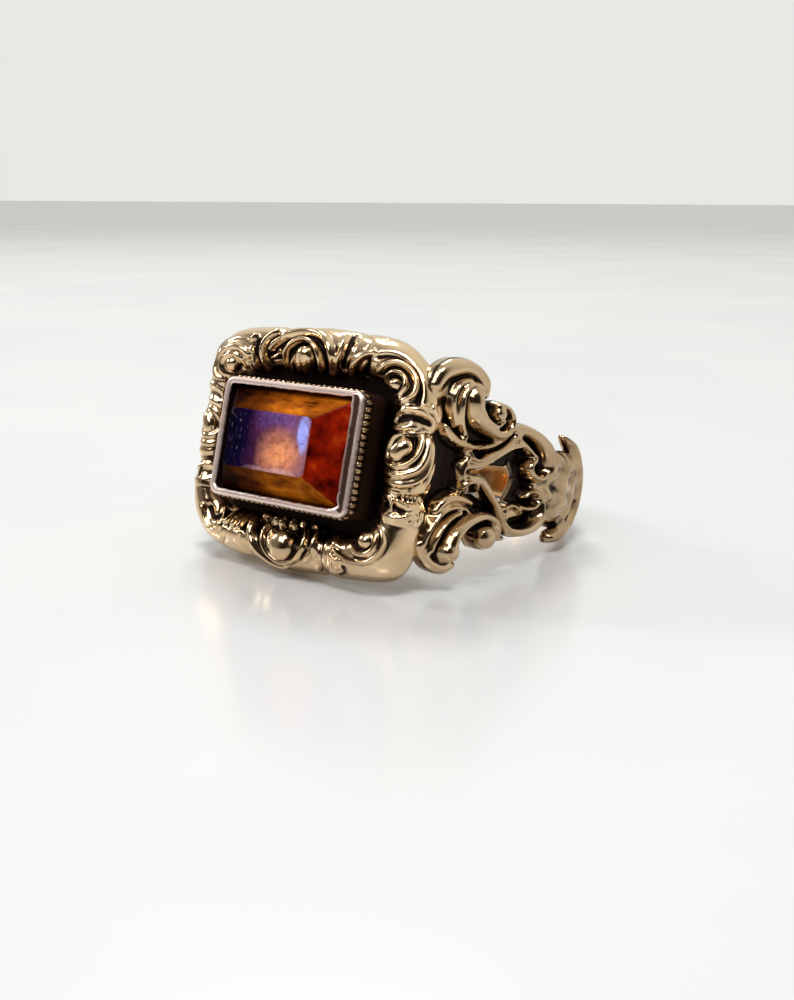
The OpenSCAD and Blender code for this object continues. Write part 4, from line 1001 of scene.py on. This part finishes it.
def stoneMaterial():
    # foiled amber glass: colour worked out over the stone from its own coordinates, with painted reflections
    # and glow on the table and painted shade on the crown, under a faint gloss
    s = stone
    material, tree, skin = newMaterial("foiledAmber")
    calc, ramp = partial(mathOf, tree), partial(rampOf, tree)
    lean = (math.radians(ring["leanDeg"]), 0, 0)
    coords = tree.nodes.new("ShaderNodeTexCoord").outputs
    # the ring's own axes again, in mm
    place = mappingOf(tree, coords["Object"], "POINT", {"Rotation": lean, "Scale": (1000, 1000, 1000)})
    noise = partial(noiseOf, tree, place)
    split = tree.nodes.new("ShaderNodeSeparateXYZ")
    x, _, z = setInputs(tree, split, {"Vector": place}).outputs
    drift = calc("MULTIPLY", calc("SUBTRACT", noise(0.9, 3), 0.5), 0.9)
    x, z = calc("ADD", x, drift), calc("ADD", z, drift)
    across = calc("ADD", calc("MULTIPLY", x, 0.17), 0.5)

    def spot(middle, reach):
        # soft round patch: 1 in its middle, 0 at its edge
        squares = [calc("POWER", calc("ABSOLUTE", calc("DIVIDE", calc("SUBTRACT", along, at), far)), 2.0)
                   for along, at, far in zip((x, z), middle, reach)]
        return calc("SUBTRACT", 1.0, calc("SQRT", calc("ADD", *squares)), clamp=True)

    # painted reflections of the foil, with a painted glow and a painted light at the table's edge
    table = ramp(across, s["tableTones"])
    for middle, reach, fade, tone in s["patches"].values():
        table = mixOf(tree, ramp(spot(middle, reach), fade), table, tone)
    table = mixOf(tree, 1.0, table, ramp(noise(2.4, 6, 0.75), s["specks"]), "MULTIPLY")
    scratches = ramp(noise(5.5, 4, 0.8, (1.0, 1.0, 0.45)), s["scratches"])
    table = mixOf(tree, scratches, table, s["scratchTone"])
    amber = ramp(noise(0.75, 5, 0.6, (1, 1, 2.6)), s["amber"])
    # painted shade: the crown darker towards the left
    amber = mixOf(tree, 1.0, amber, ramp(across, s["crownShadeToLeft"]), "MULTIPLY")
    shadedRed = ramp(noise(0.9, 4), s["shadedRed"])
    # painted shade: the side facets deep red at the right and dark at the left
    side = mixOf(tree, ramp(across, [(0.45, s["leftDark"]), (0.55, 1)]), s["leftDark"], shadedRed)
    # which facet it is, from the direction that the surface faces
    facing = tree.nodes.new("ShaderNodeSeparateXYZ")
    steady = mappingOf(tree, coords["Normal"], "VECTOR", {"Rotation": lean})
    toSide, toFront, _ = setInputs(tree, facing, {"Vector": steady}).outputs
    isSide = ramp(calc("ABSOLUTE", toSide), [(0.3, 0), (0.42, 1)])
    isTable = ramp(calc("MULTIPLY", toFront, -1.0), [(0.86, 0), (0.95, 1)])
    colour = mixOf(tree, isTable, mixOf(tree, isSide, amber, side), table)
    bump = bumpOf(tree, noise(6, 4, 0.7, (1, 1, 0.4)), 0.15, 0.00002)
    setInputs(tree, skin, {"Base Color": colour, "Normal": bump, **s["gloss"]})
    return material


stoneGrid, stoneFaces = makeStone()
stonePiece = addPiece("tableCutStone", [(stoneGrid, stoneFaces)], stoneMaterial(), {})
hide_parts("amber_stone")
print("ring built")

# From here on everything is in metres.
slabLook = {
    "box": (-6, 6, -2, 4),  # left, right, front and back
    "gap": 0.00002,  # keeps it just clear of the ring
    "cloudScale": 22, "tones": ((0.54, 0.545, 0.555), (0.60, 0.60, 0.60)), "roughness": 0.2, "ior": 1.5,
}


def makeSlab():
    s = slabLook
    z = cadBox[0][2] - s["gap"]
    left, right, front, back = s["box"]
    corners = [(left, front, z), (right, front, z), (right, back, z), (left, back, z)]
    flat = bpy.data.meshes.new("slab")
    flat.from_pydata(corners, [], [(0, 1, 2, 3)])
    slab = bpy.data.objects.new("slab", flat)
    bpy.context.scene.collection.objects.link(slab)
    material, tree, skin = newMaterial("paleSlab")
    coords = tree.nodes.new("ShaderNodeTexCoord").outputs["Object"]
    cloud = noiseOf(tree, coords, s["cloudScale"], 4)
    cloud = rampOf(tree, cloud, [(0.3, s["tones"][0]), (0.7, s["tones"][1])])
    setInputs(tree, skin, {"Base Color": cloud, "Roughness": s["roughness"], "IOR": s["ior"]})
    slab.data.materials.append(material)


# place, target, size, power in W, tone
lamps = {
    "windowBehind": ((-0.20, 0.22, 0.44), (0, 0, 0), (0.16, 0.12), 1.3, (1.0, 0.99, 0.97)),
    "windowLeft": ((-0.40, -0.12, 0.22), (0, 0, 0), (0.06, 0.12), 0.6, (0.97, 0.98, 1.0)),
    "overhead": ((0.08, -0.14, 0.38), (0, 0, 0), (0.15, 0.09), 0.9, (1, 1, 1)),
    "frontFloor": ((-0.06, -0.46, 0.46), (-0.02, -0.12, 0), (0.4, 0.3), 1.3, (1, 1, 1)),
}


def makeLamps():
    for name, (place, target, size, power, tone) in lamps.items():
        data = bpy.data.lights.new(name, "AREA")
        data.shape = "RECTANGLE"
        data.size, data.size_y = size
        data.energy = power
        data.color = tone
        lamp = bpy.data.objects.new(name, data)
        lamp.location = place
        lamp.rotation_euler = (Vector(target) - Vector(place)).to_track_quat("-Z", "Y").to_euler()
        bpy.context.scene.collection.objects.link(lamp)


room = {
    # from the viewer's side (0) to the wall behind the ring (1)
    "walls": [(0.0, (0.17, 0.16, 0.15)), (0.35, (0.26, 0.25, 0.24)), (0.6, (0.62, 0.62, 0.60)),
              (0.8, (0.80, 0.81, 0.77)), (1.0, (0.80, 0.81, 0.77))],
    # a dark shape about where the viewer stands, and a brighter ceiling
    "viewerAt": (0.62, -0.76, 0.20), "viewer": [(0.45, (1.0, 1.0, 1.0)), (0.75, (0.12, 0.09, 0.07))],
    "ceiling": [(0.3, 1.0), (0.8, 1.15)],
}


def makeWorld():
    # soft room: pale above and behind, darker on the side that the stone faces
    world = bpy.data.worlds.new("softRoom")
    bpy.context.scene.world = world
    world.use_nodes = True
    tree = world.node_tree
    tree.nodes.clear()
    coords = tree.nodes.new("ShaderNodeTexCoord").outputs["Generated"]
    split = setInputs(tree, tree.nodes.new("ShaderNodeSeparateXYZ"), {"Vector": coords})
    backness = mathOf(tree, "ADD", mathOf(tree, "MULTIPLY", split.outputs[1], 0.5), 0.5)
    toViewer = tree.nodes.new("ShaderNodeVectorMath")
    toViewer.operation = "DOT_PRODUCT"
    setInputs(tree, toViewer, {0: coords, 1: room["viewerAt"]})
    shade = rampOf(tree, backness, room["walls"])
    shade = mixOf(tree, 1.0, shade, rampOf(tree, split.outputs[2], room["ceiling"]), "MULTIPLY")
    shade = mixOf(tree, 1.0, shade, rampOf(tree, toViewer.outputs["Value"], room["viewer"]), "MULTIPLY")
    background = setInputs(tree, tree.nodes.new("ShaderNodeBackground"), {"Color": shade, "Strength": 1.0})
    out = tree.nodes.new("ShaderNodeOutputWorld")
    tree.links.new(background.outputs["Background"], out.inputs["Surface"])


# from the fit to the photo: the camera's own axes and its place; lens and sensor in mm
mainView = {
    "right": (0.81647, 0.57738, 0.00263), "up": (-0.14933, 0.20676, 0.96693),
    "back": (0.55774, -0.78986, 0.25504),
    "place": (0.0397889, -0.0593053, 0.0167176), "lens": 41.23, "sensor": 36, "clipStart": 0.001,
}


def makeCamera():
    v = mainView
    data = bpy.data.cameras.new("mainCamera")
    data.sensor_width, data.lens, data.clip_start = v["sensor"], v["lens"], v["clipStart"]
    camera = bpy.data.objects.new("mainCamera", data)
    turn = Matrix([v["right"], v["up"], v["back"]]).transposed().to_4x4()
    turn.translation = Vector(v["place"])
    camera.matrix_world = turn
    bpy.context.scene.collection.objects.link(camera)
    bpy.context.scene.camera = camera


makeSlab()
makeLamps()
makeWorld()
makeCamera()
bpy.context.scene.view_settings.view_transform = "Standard"
print("floor, lamps, room and camera ready")
